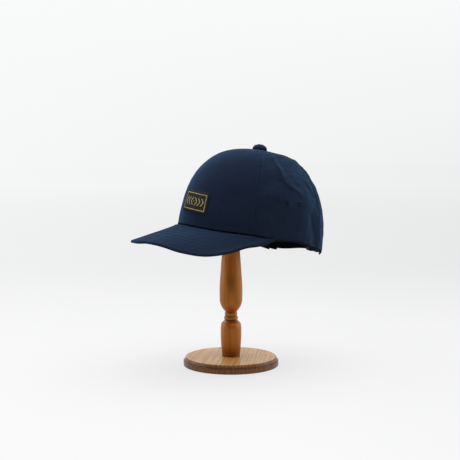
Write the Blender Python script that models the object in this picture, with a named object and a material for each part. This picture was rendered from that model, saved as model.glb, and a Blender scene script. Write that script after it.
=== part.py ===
"""A five-panel cap with a bowed visor, carried on a turned wooden stand.

The cap faces -Y and the wearer's left is +X. The origin is the centre of the stand's underside.
"""

import math
from collections import namedtuple

import bmesh
import bpy
import numpy as np
from mathutils import Matrix, Vector

# Clearances between pieces that touch on the real cap
GAP = 0.0003
REST_GAP = 0.0005
FACET_GAP = 0.0002

# Crown
HEAD_LENGTH = 0.196
HEAD_WIDTH = 0.169
CROWN_HEIGHT = 0.112
CROWN_TOP_FORWARD = 0.0035
CLOTH = 0.0015
FRONT_SEAM_ANGLE = 54.0
REAR_SEAM_ANGLE = 117.0
FRONT_SKEW = 0.0020
CROWN_TUCK = 0.0015
TUCK_FADE_ANGLE = 4.0

# Opening at the back, closed by the strap
ARCH_HEIGHT = 0.042
ARCH_ANGLE = 29.0
STRAP_WIDTH = 0.019
STRAP_THICKNESS = 0.0014
STRAP_ABOVE_EDGE = 0.0022
STRAP_OVERLAP_ANGLE = 6.0
SLIDER_LENGTH = 0.010
SLIDER_WALL = 0.0012
SLIDER_ANGLE = 171.0

# Sweatband
BAND_WIDTH = 0.032
BAND_THICKNESS = 0.0010
BAND_DROP = 0.0024

# Visor
VISOR_LENGTH = 0.070
VISOR_HALF_WIDTH = 0.086
VISOR_END_ANGLE = 70.0
VISOR_THICKNESS = 0.0032
VISOR_END_WIDTH = 0.0022
VISOR_CORNER_POWER = 20

# Button, label and eyelets
BUTTON_RADIUS = 0.0092
BUTTON_HEIGHT = 0.0080
BUTTON_SEAT_SHARE = 0.90
BUTTON_LIP_SHARE = 0.22
BUTTON_SHANK_RADIUS = 0.0022
LABEL_WIDTH = 0.045
LABEL_HEIGHT = 0.026
LABEL_CENTRE_HEIGHT = 0.0345
LABEL_TILT = 6.5
LABEL_THICKNESS = 0.0009
EYELET_RADIUS = 0.0034
EYELET_HOLE_RADIUS = 0.0011
EYELET_BARREL_RADIUS = 0.0021
EYELET_RIM = 0.0006
EYELET_HEIGHT = 0.0445
EYELET_ANGLES = {"front": 78.5, "rear": 90.5}

# Stand
BASE_RADIUS = 0.0595
BASE_TOP_RADIUS = 0.0555
BASE_THICKNESS = 0.011
BASE_STEP_HEIGHT = 0.0065
BASE_CHAMFER = 0.0008
BASE_COVE_SHARE = 0.6
FOOT_RADIUS = 0.0130
FOOT_HEIGHT = 0.0452
BEAD_GROOVE_RADIUS = 0.0074
LOWER_BEAD_RADIUS = 0.0088
UPPER_BEAD_RADIUS = 0.0078
BEAD_HEIGHT = 0.0052
BEAD_FULLNESS = 0.42
VASE_RADIUS = 0.0143
VASE_HEIGHT = 0.1585
HEAD_RADIUS = 0.040
HEAD_HEIGHT = 0.030
HEAD_LIP = 0.006

# How the cap sits on the stand
CAP_TILT = 9.6
CAP_BEHIND_POST = 0.0319

# The crown's curve at the front, the sides and the back, as superellipse exponents
Section = namedtuple("Section", "girth rise")
SECTIONS = {
    "front": Section(2.70, 2.25),
    "side": Section(2.60, 2.45),
    "back": Section(2.26, 2.28),
}

# Lower edge of the crown: its lift above the base plane, as a share of CROWN_HEIGHT
Edge = namedtuple("Edge", "angle lift")
EDGES = [
    Edge(0, 0.040),
    Edge(35, 0.030),
    Edge(70, 0.008),
    Edge(90, 0.030),
    Edge(110, 0.0),
    Edge(130, -0.018),
    Edge(150, -0.062),
    Edge(180, -0.030),
]

# The visor's rim: its drop below its two ends, as a share of VISOR_LENGTH, on the wearer's left
# and right, at shares of the way from the centre to either end
Droop = namedtuple("Droop", "share left right")
DROOPS = [
    Droop(0.0, 0.313, 0.313),
    Droop(0.25, 0.344, 0.325),
    Droop(0.4, 0.401, 0.327),
    Droop(0.5, 0.414, 0.327),
    Droop(0.6, 0.380, 0.306),
    Droop(0.7, 0.296, 0.262),
    Droop(0.8, 0.182, 0.180),
    Droop(0.88, 0.126, 0.126),
    Droop(0.94, 0.075, 0.075),
    Droop(1.0, 0.0, 0.0),
]

# Folds of the cloth from one point of the crown to another. Points are an angle and a share of
# the way up the crown's curve. Depth and spread are shares of HEAD_WIDTH, and a depth above
# zero stands out. Side is 1 on the wearer's left and -1 on the right.
Fold = namedtuple("Fold", "side angle_a level_a angle_b level_b depth spread")
FOLDS = [
    Fold(1, 70, 0.74, 74, 0.52, 0.006, 0.022),
    Fold(1, 75, 0.50, 84, 0.35, 0.010, 0.026),
    Fold(1, 86, 0.33, 98, 0.28, 0.005, 0.024),
    Fold(1, 84, 0.68, 95, 0.46, -0.011, 0.045),
    Fold(1, 99, 0.42, 108, 0.31, -0.007, 0.030),
    Fold(1, 104, 0.14, 110, 0.02, -0.006, 0.030),
    Fold(1, 116, 0.20, 119, 0.03, 0.006, 0.035),
    Fold(1, 34, 0.16, 52, 0.30, -0.006, 0.070),
    Fold(-1, 72, 0.66, 86, 0.40, 0.006, 0.030),
    Fold(-1, 90, 0.62, 100, 0.42, -0.007, 0.045),
    Fold(-1, 112, 0.24, 116, 0.04, 0.005, 0.040),
    Fold(-1, 36, 0.15, 52, 0.28, -0.005, 0.070),
]

# Turned outlines of the post: shares of the stretch's height and of its largest radius
Turning = namedtuple("Turning", "height radius")
FOOT_TURNINGS = [
    Turning(0.0, 0.86),
    Turning(0.25, 0.94),
    Turning(0.45, 0.99),
    Turning(0.68, 1.0),
    Turning(0.82, 0.98),
    Turning(0.93, 0.88),
    Turning(1.0, 0.63),
]
VASE_TURNINGS = [
    Turning(0.0, 0.5),
    Turning(0.013, 0.62),
    Turning(0.038, 0.81),
    Turning(0.073, 0.96),
    Turning(0.129, 1.0),
    Turning(0.217, 0.99),
    Turning(0.294, 0.93),
    Turning(0.381, 0.864),
    Turning(0.444, 0.81),
    Turning(0.72, 0.67),
    Turning(1.0, 0.62),
]

# Facets
FRONT_COLUMNS = 18
SIDE_COLUMNS = 10
BACK_COLUMNS = 6
ARCH_COLUMNS = 7
CROWN_ROWS = 15
VISOR_COLUMNS = 32
VISOR_ROWS = 4
FOOT_ROWS = 12
VASE_ROWS = 15
TURNED_SIDES = 28
SMALL_SIDES = 12

NORMAL_STEP = 0.002
FLAT_NARROWING = 0.8
TURNING_CROWDING = 1.5


def clear_scene():
    for obj in list(bpy.data.objects):
        bpy.data.objects.remove(obj, do_unlink=True)


def linear(channel):
    """One sRGB channel, 0 to 255, as linear light."""
    share = channel / 255
    return share / 12.92 if share <= 0.04045 else ((share + 0.055) / 1.055) ** 2.4


def material(name, colour, roughness, metallic=0.0):
    made = bpy.data.materials.new(name)
    made.use_nodes = True
    shader = made.node_tree.nodes["Principled BSDF"]
    shader.inputs["Base Color"].default_value = (*map(linear, colour), 1)
    shader.inputs["Roughness"].default_value = roughness
    shader.inputs["Metallic"].default_value = metallic
    return made


def smooth_curve(value, rows):
    """A smooth curve through rows of (place, height), level at its first and last row."""
    places, heights = (np.array(column, float) for column in zip(*rows))
    slopes = np.gradient(heights, places)
    slopes[0] = slopes[-1] = 0
    value = np.clip(value, places[0], places[-1])
    i = np.clip(np.searchsorted(places, value, side="right") - 1, 0, len(places) - 2)
    step = places[i + 1] - places[i]
    t = (value - places[i]) / step
    start = (2 * t**3 - 3 * t**2 + 1) * heights[i] + (t**3 - 2 * t**2 + t) * step * slopes[i]
    return start + (3 * t**2 - 2 * t**3) * heights[i + 1] + (t**3 - t**2) * step * slopes[i + 1]


def exponents(angle):
    """Girth and rise of the crown's curve at an angle, in degrees from the front."""
    c = np.cos(np.radians(angle))
    front, back = np.clip(c, 0, 1) ** 2, np.clip(-c, 0, 1) ** 2
    weights = {"front": front, "side": 1 - front - back, "back": back}
    girth = sum(weight * SECTIONS[name].girth for name, weight in weights.items())
    rise = sum(weight * SECTIONS[name].rise for name, weight in weights.items())
    return girth, rise


def edge_height(angle):
    """Height of the crown's lower edge. In front it is lower on the wearer's left."""
    turned = (np.asarray(angle, float) + 180) % 360 - 180
    across = np.clip(turned / FRONT_SEAM_ANGLE, -1, 1)
    skew = FRONT_SKEW * np.sin(across * np.pi)
    return CROWN_HEIGHT * smooth_curve(np.abs(turned), EDGES) - skew


def plain_crown(angle, level):
    """The crown without folds. Level runs from 0 at the lower edge to 1 at the button."""
    angle, level = np.broadcast_arrays(np.asarray(angle, float), np.asarray(level, float))
    girth, rise = exponents(angle)
    radius = np.cos(level * np.pi / 2) ** (2 / girth)
    height = np.sin(level * np.pi / 2) ** (2 / rise)
    edge = edge_height(angle)
    x = HEAD_WIDTH / 2 * np.sin(np.radians(angle)) * radius
    y = -HEAD_LENGTH / 2 * np.cos(np.radians(angle)) * radius
    y = y - CROWN_TOP_FORWARD * (1 - radius)
    return np.stack([x, y, edge + (CROWN_HEIGHT - edge) * height], -1)


def crown_normal(angle, level):
    low = np.clip(level, NORMAL_STEP, 1 - 2 * NORMAL_STEP)
    along = plain_crown(angle + 1, low) - plain_crown(angle - 1, low)
    up = plain_crown(angle, low + NORMAL_STEP) - plain_crown(angle, low - NORMAL_STEP)
    normal = np.cross(along, up)
    return normal / np.linalg.norm(normal, axis=-1, keepdims=True)


def flat_place(angle, level):
    """A point of the crown laid out flat, so that distances along the cloth can be measured."""
    across = np.radians(angle) * HEAD_WIDTH / 2 * np.cos(level * np.pi / 2) ** FLAT_NARROWING
    return np.stack([across, level * (CROWN_HEIGHT + HEAD_WIDTH / 4)], -1)


def fold_height(angle, level):
    place = flat_place(angle, level)
    total = np.zeros(place.shape[:-1])
    for fold in FOLDS:
        start = flat_place(fold.side * fold.angle_a, np.float64(fold.level_a))
        end = flat_place(fold.side * fold.angle_b, np.float64(fold.level_b))
        run = end - start
        share = np.clip(((place - start) @ run) / (run @ run), 0, 1)
        away = np.linalg.norm(place - start - share[..., None] * run, axis=-1)
        total += fold.depth * HEAD_WIDTH * np.exp(-((away / (fold.spread * HEAD_WIDTH)) ** 2))
    return total


def wall(angle, level, depth, drop=0.0):
    """Points of the crown's cloth at a depth inside its outer face, lowered by drop."""
    angle, level = np.broadcast_arrays(np.asarray(angle, float), np.asarray(level, float))
    out = (fold_height(angle, level) - depth)[..., None]
    points = plain_crown(angle, level) + out * crown_normal(angle, level)
    points[..., 2] -= drop
    return points


def level_at(angle, height):
    """The level where the crown is this high above its lower edge."""
    rise = exponents(angle)[1]
    share = np.clip(height / (CROWN_HEIGHT - edge_height(angle)), 0, 1)
    return 2 / np.pi * np.arcsin(share ** (rise / 2))


def top_level(angle):
    """The level where the panels stop, round the hole for the button's shank."""
    share = (BUTTON_SHANK_RADIUS + GAP) / (HEAD_WIDTH / 2)
    return 2 / np.pi * np.arccos(share ** (exponents(angle)[0] / 2))


def tuck(angle):
    """How far the crown's lower edge hides behind the visor."""
    inside = np.clip((VISOR_END_ANGLE - np.abs(angle)) / TUCK_FADE_ANGLE, 0, 1)
    return CROWN_TUCK * inside**2 * (3 - 2 * inside)


def arch_lift(angle):
    """Height of the opening's upper edge above the crown's lower edge."""
    share = np.clip((180 - np.abs(angle)) / ARCH_ANGLE, 0, 1)
    return ARCH_HEIGHT * np.sqrt(1 - share**2)


def finish_mesh(name, bm, look, parent=None):
    bmesh.ops.recalc_face_normals(bm, faces=bm.faces)
    mesh = bpy.data.meshes.new(name)
    bm.to_mesh(mesh)
    bm.free()
    mesh.shade_smooth()
    mesh.set_sharp_from_angle(angle=math.radians(40))
    mesh.materials.append(look)
    obj = bpy.data.objects.new(name, mesh)
    bpy.context.collection.objects.link(obj)
    obj.parent = parent
    return obj


def sheet_solid(name, outer, inner, look, parent):
    """A closed solid between two grids of points with the same rows and columns."""
    bm = bmesh.new()
    grids = []
    for points in (outer, inner):
        grids.append([[bm.verts.new(point) for point in row] for row in points])
    rows, columns = len(outer), len(outer[0])
    for grid in grids:
        for r in range(rows - 1):
            for c in range(columns - 1):
                bm.faces.new([grid[r][c], grid[r][c + 1], grid[r + 1][c + 1], grid[r + 1][c]])
    rim = [(0, c) for c in range(columns)]
    rim += [(r, columns - 1) for r in range(1, rows)]
    rim += [(rows - 1, c) for c in range(columns - 2, -1, -1)]
    rim += [(r, 0) for r in range(rows - 2, 0, -1)]
    for (r0, c0), (r1, c1) in zip(rim, rim[1:] + rim[:1]):
        a, b = grids
        bm.faces.new([a[r0][c0], a[r1][c1], b[r1][c1], b[r0][c0]])
    return finish_mesh(name, bm, look, parent)


def turned_solid(name, outline, sides, look, parent=None):
    """A solid turned about Z from (radius, height) points that start and end on the axis."""
    bm = bmesh.new()
    verts = [bm.verts.new((radius, 0, height)) for radius, height in outline]
    edges = [bm.edges.new(pair) for pair in zip(verts, verts[1:])]
    bmesh.ops.spin(
        bm,
        geom=verts + edges,
        axis=(0, 0, 1),
        cent=(0, 0, 0),
        angle=2 * math.pi,
        steps=sides,
    )
    bmesh.ops.remove_doubles(bm, verts=bm.verts, dist=1e-6)
    return finish_mesh(name, bm, look, parent)


def arc(centre, radii, start, end, steps):
    """Points of an ellipse's arc as (radius, height), from one angle to another in degrees."""
    turns = np.radians(np.linspace(start, end, steps))
    return [(centre[0] + radii[0] * math.cos(t), centre[1] + radii[1] * math.sin(t)) for t in turns]


def crown_panel(name, angles, look, parent):
    """A panel between its first and last angle, which are seams."""
    shares = np.linspace(0, 1, CROWN_ROWS + 1)[:, None]
    angles = np.asarray(angles, float)
    start = level_at(angles, arch_lift(angles))
    levels = start + (top_level(angles) - start) * shares
    radius = HEAD_WIDTH / 2 * np.cos(levels * np.pi / 2) ** (2 / exponents(angles)[0])
    slack = np.degrees(GAP / 2 / radius)
    middle, half = (angles[0] + angles[-1]) / 2, abs(angles[-1] - angles[0]) / 2
    spread = middle + (angles - middle) * (1 - slack / half)
    grids = []
    for depth in (0, CLOTH):
        body = wall(spread, levels, depth)
        hem = wall(spread[:1], levels[:1], depth, tuck(spread[:1]))
        if np.any(tuck(angles) > 0):
            hem[..., 2] = np.minimum(hem[..., 2], body[:1, :, 2] - FACET_GAP)
            body = np.concatenate([hem, body])
        grids.append(body)
    return sheet_solid(name, grids[0], grids[1], look, parent)


def panel_angles():
    front = np.linspace(-FRONT_SEAM_ANGLE, FRONT_SEAM_ANGLE, FRONT_COLUMNS + 1)
    side = np.linspace(FRONT_SEAM_ANGLE, REAR_SEAM_ANGLE, SIDE_COLUMNS + 1)
    arch_start = 180 - ARCH_ANGLE
    plain = np.linspace(REAR_SEAM_ANGLE, arch_start, BACK_COLUMNS, endpoint=False)
    turns = np.linspace(0, np.pi / 2, ARCH_COLUMNS + 1)
    back = np.concatenate([plain, arch_start + ARCH_ANGLE * (1 - np.cos(turns))])
    return front, side, back


def eyelet_place(angle):
    """Location of an eyelet's axis on the cloth, and the rotation that turns Z outward."""
    level = level_at(angle, EYELET_HEIGHT)
    point = Vector(wall(angle, level, 0.0))
    outward = Vector(crown_normal(angle, level))
    return point, outward.to_track_quat("Z", "Y").to_matrix().to_4x4()


def eyelet(name, angle, look, parent):
    """A stitched ring whose barrel lines a hole in the panel."""
    flange = EYELET_RIM + GAP
    outline = [
        (EYELET_HOLE_RADIUS, -CLOTH),
        (EYELET_BARREL_RADIUS, -CLOTH),
        (EYELET_BARREL_RADIUS, GAP),
        (EYELET_RADIUS, GAP),
        (EYELET_RADIUS - EYELET_RIM / 3, flange - EYELET_RIM / 4),
        (EYELET_RADIUS - EYELET_RIM, flange),
        (EYELET_HOLE_RADIUS + EYELET_RIM / 2, flange),
        (EYELET_HOLE_RADIUS, flange - EYELET_RIM / 2),
        (EYELET_HOLE_RADIUS, -CLOTH),
    ]
    ring = turned_solid(name, outline, SMALL_SIDES, look, parent)
    point, turn = eyelet_place(angle)
    ring.matrix_local = Matrix.Translation(point) @ turn
    return ring


def punch(panel, angle, parent):
    """Cuts the hole that an eyelet's barrel passes through."""
    bm = bmesh.new()
    radius = EYELET_BARREL_RADIUS + GAP
    bmesh.ops.create_cone(
        bm,
        cap_ends=True,
        segments=SMALL_SIDES,
        radius1=radius,
        radius2=radius,
        depth=6 * CLOTH,
    )
    cutter = finish_mesh(f"cutter_{panel.name}_{angle:g}", bm, panel.data.materials[0], parent)
    point, turn = eyelet_place(angle)
    cutter.matrix_local = Matrix.Translation(point) @ turn
    cutter.hide_render = True
    cutter.display_type = "WIRE"
    cut = panel.modifiers.new("Eyelet hole", "BOOLEAN")
    cut.operation = "DIFFERENCE"
    cut.object = cutter


def visor_seam(share):
    """Inner edge of the visor's top, just outside the crown, from one end to the other."""
    angle = VISOR_END_ANGLE * np.sin(share * np.pi / 2)
    return wall(angle, np.zeros_like(angle), -GAP - FACET_GAP)


def visor_rim(share):
    """Outer edge of the visor's top. Its ends run into the seam."""
    turn = share * np.pi / 2
    across, forward = np.abs(np.sin(turn)), np.cos(turn)
    end = visor_seam(np.array([1.0]))[0]
    ends = across**VISOR_CORNER_POWER
    x = VISOR_HALF_WIDTH * across
    x = x + (end[0] + VISOR_END_WIDTH - VISOR_HALF_WIDTH) * ends
    y = -end[1] + (HEAD_LENGTH / 2 + VISOR_LENGTH + end[1]) * forward
    left = smooth_curve(np.abs(share), [(row.share, row.left) for row in DROOPS])
    right = smooth_curve(np.abs(share), [(row.share, row.right) for row in DROOPS])
    z = end[2] - VISOR_LENGTH * np.where(share > 0, left, right)
    return np.stack([np.sign(share) * x, -y, z], -1)


def visor(look, parent):
    share = np.linspace(-1, 1, VISOR_COLUMNS + 1)
    seam, rim = visor_seam(share), visor_rim(share)
    steps = np.linspace(0, 1, VISOR_ROWS + 1)[:, None, None]
    top = seam + (rim - seam) * steps
    bottom = top - np.array([0, 0, VISOR_THICKNESS])
    return sheet_solid("visor", top, bottom, look, parent)


def band_end():
    """The angle where the sweatband stops, clear of the strap's end."""
    gap = math.degrees(2 * GAP / (HEAD_LENGTH / 2))
    return 180 - ARCH_ANGLE - STRAP_OVERLAP_ANGLE - gap


def sweatband(look, parent):
    angle = np.linspace(-band_end(), band_end(), 2 * (FRONT_COLUMNS + SIDE_COLUMNS) + 1)
    levels = level_at(angle, np.array([[0.0], [0.5], [1.0]]) * BAND_WIDTH)
    drop = np.stack([BAND_DROP + tuck(angle), np.zeros_like(angle), np.zeros_like(angle)])
    outer = wall(angle, levels, CLOTH + GAP + FACET_GAP, drop)
    inner = wall(angle, levels, CLOTH + GAP + FACET_GAP + BAND_THICKNESS, drop)
    return sheet_solid("sweatband", outer, inner, look, parent)


def strap_depth():
    return CLOTH + GAP + FACET_GAP


def back_strap(look, parent):
    half = ARCH_ANGLE + STRAP_OVERLAP_ANGLE
    angle = np.linspace(180 - half, 180 + half, 2 * ARCH_COLUMNS + 1)
    heights = np.array([[STRAP_ABOVE_EDGE], [STRAP_ABOVE_EDGE + STRAP_WIDTH]])
    levels = level_at(angle, heights)
    outer = wall(angle, levels, strap_depth())
    inner = wall(angle, levels, strap_depth() + STRAP_THICKNESS)
    return sheet_solid("back_strap", outer, inner, look, parent)


def strap_slider(look, parent):
    """A plain rectangular loop round the strap."""
    half_angle = math.degrees(SLIDER_LENGTH / HEAD_LENGTH)
    angles = np.array([SLIDER_ANGLE - half_angle, SLIDER_ANGLE, SLIDER_ANGLE + half_angle])
    low, high = STRAP_ABOVE_EDGE, STRAP_ABOVE_EDGE + STRAP_WIDTH
    room = GAP + FACET_GAP
    loops = []
    for grow in (room, room + SLIDER_WALL):
        corners = [
            (low - grow, strap_depth() - grow),
            (high + grow, strap_depth() - grow),
            (high + grow, strap_depth() + STRAP_THICKNESS + grow),
            (low - grow, strap_depth() + STRAP_THICKNESS + grow),
        ]
        loops.append([wall(angles, level_at(angles, height), depth) for height, depth in corners])
    bm = bmesh.new()
    inner, outer = ([[bm.verts.new(p) for p in corner] for corner in loop] for loop in loops)
    for i in range(4):
        j = (i + 1) % 4
        for loop in (inner, outer):
            for k in range(2):
                bm.faces.new([loop[i][k], loop[i][k + 1], loop[j][k + 1], loop[j][k]])
        for k in (0, 2):
            bm.faces.new([inner[i][k], outer[i][k], outer[j][k], inner[j][k]])
    return finish_mesh("strap_slider", bm, look, parent)


def front_label(look, parent):
    half = math.degrees(math.asin(LABEL_WIDTH / HEAD_WIDTH))
    angle = np.linspace(-half, half, 11)
    slope = LABEL_WIDTH / 2 * angle / half * math.tan(math.radians(LABEL_TILT))
    heights = LABEL_CENTRE_HEIGHT - slope + LABEL_HEIGHT * np.linspace(-0.5, 0.5, 4)[:, None]
    levels = level_at(angle, heights - edge_height(angle))
    outer = wall(angle, levels, -GAP - LABEL_THICKNESS)
    inner = wall(angle, levels, -GAP)
    return sheet_solid("front_label", outer, inner, look, parent)


def top_button(look, parent):
    """A cloth-covered dome over the point of the crown, with its shank through the hole."""
    seat = GAP + FACET_GAP
    lip = BUTTON_HEIGHT * BUTTON_LIP_SHARE
    flat = BUTTON_RADIUS * BUTTON_SEAT_SHARE
    outline = [(0, -2 * CLOTH), (BUTTON_SHANK_RADIUS, -2 * CLOTH), (BUTTON_SHANK_RADIUS, seat)]
    outline += [(flat, seat)] + arc((flat, seat + lip), (BUTTON_RADIUS - flat, lip), -60, 30, 4)
    outline += arc((0, seat + lip), (BUTTON_RADIUS, BUTTON_HEIGHT - lip), 24, 90, 6)
    outline[-1] = (0, seat + BUTTON_HEIGHT)
    button = turned_solid("top_button", outline, 2 * SMALL_SIDES, look, parent)
    button.location = (0, -CROWN_TOP_FORWARD, CROWN_HEIGHT)
    return button


def stand_base(look):
    cove = (BASE_RADIUS - BASE_TOP_RADIUS) * BASE_COVE_SHARE
    outline = [(0, 0), (BASE_RADIUS - BASE_CHAMFER, 0), (BASE_RADIUS, BASE_CHAMFER)]
    outline += [(BASE_RADIUS, BASE_STEP_HEIGHT - BASE_CHAMFER)]
    outline += [(BASE_RADIUS - BASE_CHAMFER, BASE_STEP_HEIGHT)]
    outline += [(BASE_TOP_RADIUS + cove, BASE_STEP_HEIGHT)]
    centre = (BASE_TOP_RADIUS, BASE_THICKNESS)
    radii = (cove, BASE_THICKNESS - BASE_STEP_HEIGHT)
    rounded = arc((BASE_TOP_RADIUS, BASE_STEP_HEIGHT), radii, 0, 90, 6)
    outline += rounded[1:-1] + [centre, (0, BASE_THICKNESS)]
    return turned_solid("stand_base", outline, 2 * TURNED_SIDES, look)


def turning(rows, radius, bottom, height, steps):
    """A turned outline as (radius, height) points, closer together near its bottom."""
    shares = np.linspace(0, 1, steps) ** TURNING_CROWDING
    radii = smooth_curve(shares, rows) * radius
    return [(r, bottom + s * height) for r, s in zip(radii, shares)]


def post_bottom():
    return BASE_THICKNESS + GAP


def post_top():
    return post_bottom() + FOOT_HEIGHT + 2 * BEAD_HEIGHT + VASE_HEIGHT


def stand_post(look):
    bottom = post_bottom()
    outline = [(0, bottom)]
    outline += turning(FOOT_TURNINGS, FOOT_RADIUS, bottom, FOOT_HEIGHT, FOOT_ROWS)
    height = bottom + FOOT_HEIGHT
    for radius in (LOWER_BEAD_RADIUS, UPPER_BEAD_RADIUS):
        centre = (BEAD_GROOVE_RADIUS, height + BEAD_HEIGHT / 2)
        bead = arc(centre, (radius - BEAD_GROOVE_RADIUS, BEAD_HEIGHT * BEAD_FULLNESS), -90, 90, 5)
        outline += bead
        height += BEAD_HEIGHT
    outline += turning(VASE_TURNINGS, VASE_RADIUS, height, VASE_HEIGHT, VASE_ROWS)
    outline += [(0, post_top())]
    return turned_solid("stand_post", outline, TURNED_SIDES, look)


def head_bottom():
    return post_top() + GAP


def head_curve(radius):
    """Height of the head's top above its underside at a distance from the axis."""
    share = np.clip(radius / HEAD_RADIUS, 0, 1)
    return HEAD_LIP + (HEAD_HEIGHT - HEAD_LIP) * np.sqrt(1 - share**2)


def stand_head(look):
    bottom = head_bottom()
    neck = VASE_RADIUS * VASE_TURNINGS[-1].radius
    outline = [(0, bottom), (neck, bottom)]
    outline += [(HEAD_RADIUS - HEAD_LIP / 2, bottom + HEAD_LIP / 4)]
    outline += [(HEAD_RADIUS, bottom + HEAD_LIP / 2)]
    outline += arc((0, bottom + HEAD_LIP), (HEAD_RADIUS, HEAD_HEIGHT - HEAD_LIP), 0, 90, 9)
    outline[-1] = (0, bottom + HEAD_HEIGHT)
    return turned_solid("stand_head", outline, TURNED_SIDES, look)


def cap_frame():
    """An empty at the centre of the crown's base, placed so that the crown meets the stand."""
    turn = Matrix.Rotation(math.radians(-CAP_TILT), 4, "X")
    angles, levels = np.meshgrid(np.arange(0, 360, 5.0), np.linspace(0.3, 0.98, 40))
    turned = (angles + 180) % 360 - 180
    inside = wall(turned, levels, CLOTH) @ np.array(turn.to_3x3()).T
    inside[..., 1] += CAP_BEHIND_POST
    away = np.hypot(inside[..., 0], inside[..., 1])
    over_head = away < HEAD_RADIUS
    needed = head_bottom() + head_curve(away[over_head]) - inside[..., 2][over_head]
    empty = bpy.data.objects.new("cap_frame", None)
    bpy.context.collection.objects.link(empty)
    height = float(needed.max()) + REST_GAP
    empty.matrix_world = Matrix.Translation((0, CAP_BEHIND_POST, height)) @ turn
    return empty


def build_cap():
    cloth = material("Navy twill", (30, 38, 56), 0.9)
    lining = material("Dark lining", (14, 15, 18), 0.9)
    thread = material("Navy thread", (24, 30, 46), 0.8)
    woven = material("Woven label", (50, 40, 30), 0.8)
    metal = material("Dark metal", (60, 58, 56), 0.4, 1.0)
    frame = cap_frame()
    front, side, back = panel_angles()
    crown_panel("crown_front_panel", front, cloth, frame)
    for name, sign in (("left", 1), ("right", -1)):
        panel = crown_panel(f"crown_side_panel_{name}", sign * side, cloth, frame)
        crown_panel(f"crown_back_panel_{name}", sign * back, cloth, frame)
        for place, angle in EYELET_ANGLES.items():
            punch(panel, sign * angle, frame)
            eyelet(f"eyelet_{name}_{place}", sign * angle, thread, frame)
    visor(cloth, frame)
    sweatband(lining, frame)
    back_strap(cloth, frame)
    strap_slider(metal, frame)
    front_label(woven, frame)
    top_button(cloth, frame)


def build_stand():
    wood = material("Turned wood", (134, 80, 34), 0.4)
    pale_wood = material("Base wood", (150, 108, 70), 0.45)
    stand_base(pale_wood)
    stand_post(wood)
    stand_head(wood)


def main():
    clear_scene()
    build_stand()
    build_cap()


if __name__ == "__main__":
    main()
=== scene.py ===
"""The finished look of a cap on its wooden stand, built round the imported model.

The cap faces -Y and the wearer's left is +X. Lengths are in metres.
"""

import math
from collections import namedtuple

import bmesh
import bpy
import numpy as np
from bpy.props import FloatProperty, FloatVectorProperty, PointerProperty
from bpy.types import Operator, Panel, PropertyGroup
from mathutils import Matrix, Vector


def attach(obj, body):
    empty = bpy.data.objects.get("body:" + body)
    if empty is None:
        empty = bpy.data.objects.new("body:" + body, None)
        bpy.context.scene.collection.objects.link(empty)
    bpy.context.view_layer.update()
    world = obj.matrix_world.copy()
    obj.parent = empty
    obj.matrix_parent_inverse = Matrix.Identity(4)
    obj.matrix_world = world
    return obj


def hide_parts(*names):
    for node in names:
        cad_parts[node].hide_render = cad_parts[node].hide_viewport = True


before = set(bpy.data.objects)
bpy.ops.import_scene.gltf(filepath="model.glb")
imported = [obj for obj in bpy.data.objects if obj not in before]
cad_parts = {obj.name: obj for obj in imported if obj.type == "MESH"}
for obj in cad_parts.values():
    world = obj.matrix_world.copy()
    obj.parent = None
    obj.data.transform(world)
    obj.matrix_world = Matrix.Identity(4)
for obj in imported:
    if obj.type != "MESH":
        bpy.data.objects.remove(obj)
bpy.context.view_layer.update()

bl_info = {
    "name": "Cap on a stand",
    "version": (1, 0, 0),
    "blender": (4, 5, 0),
    "location": "3D View > Sidebar > Cap",
    "description": "Builds the cloth, stitching, label and wooden stand of a cap",
    "category": "Add Mesh",
}

# The crown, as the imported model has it
HEAD_LENGTH = 0.196
HEAD_WIDTH = 0.169
CROWN_HEIGHT = 0.112
CROWN_TOP_FORWARD = 0.0035
CLOTH = 0.0015
FRONT_SEAM_ANGLE = 54.0
REAR_SEAM_ANGLE = 117.0
FRONT_SKEW = 0.0020
ARCH_HEIGHT = 0.042
ARCH_ANGLE = 29.0
CREASE_HEIGHT = 0.0018
CREASE_FADE_ANGLE = 8.0
CROWN_HOLE_RADIUS = 0.0026
PANEL_ROWS = 96
CAP_TILT = 9.6
CAP_CENTRE = (0, 0.0319, 0.156398)

CAP_PLACE = Matrix.Translation(CAP_CENTRE) @ Matrix.Rotation(math.radians(-CAP_TILT), 4, "X")
CAP_TURN = np.array(CAP_PLACE.to_3x3())

Section = namedtuple("Section", "girth rise")
SECTIONS = {
    "front": Section(2.70, 2.25),
    "side": Section(2.60, 2.45),
    "back": Section(2.26, 2.28),
}

# Lower edge of the crown: lift as a share of CROWN_HEIGHT
Edge = namedtuple("Edge", "angle lift")
EDGES = [
    Edge(0, 0.040),
    Edge(35, 0.030),
    Edge(70, 0.008),
    Edge(90, 0.030),
    Edge(110, 0.0),
    Edge(130, -0.018),
    Edge(150, -0.062),
    Edge(180, -0.030),
]

# Folds of the cloth. Depth and spread are shares of HEAD_WIDTH
Fold = namedtuple("Fold", "side angle_a level_a angle_b level_b depth spread")
FOLDS = [
    Fold(1, 70, 0.74, 74, 0.52, 0.006, 0.022),
    Fold(1, 75, 0.50, 84, 0.35, 0.010, 0.026),
    Fold(1, 86, 0.33, 98, 0.28, 0.005, 0.024),
    Fold(1, 84, 0.68, 95, 0.46, -0.011, 0.045),
    Fold(1, 99, 0.42, 108, 0.31, -0.007, 0.030),
    Fold(1, 104, 0.14, 110, 0.02, -0.006, 0.030),
    Fold(1, 116, 0.20, 119, 0.03, 0.006, 0.035),
    Fold(1, 34, 0.16, 52, 0.30, -0.006, 0.070),
    Fold(-1, 72, 0.66, 86, 0.40, 0.006, 0.030),
    Fold(-1, 90, 0.62, 100, 0.42, -0.007, 0.045),
    Fold(-1, 112, 0.24, 116, 0.04, 0.005, 0.040),
    Fold(-1, 36, 0.15, 52, 0.28, -0.005, 0.070),
]

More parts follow.
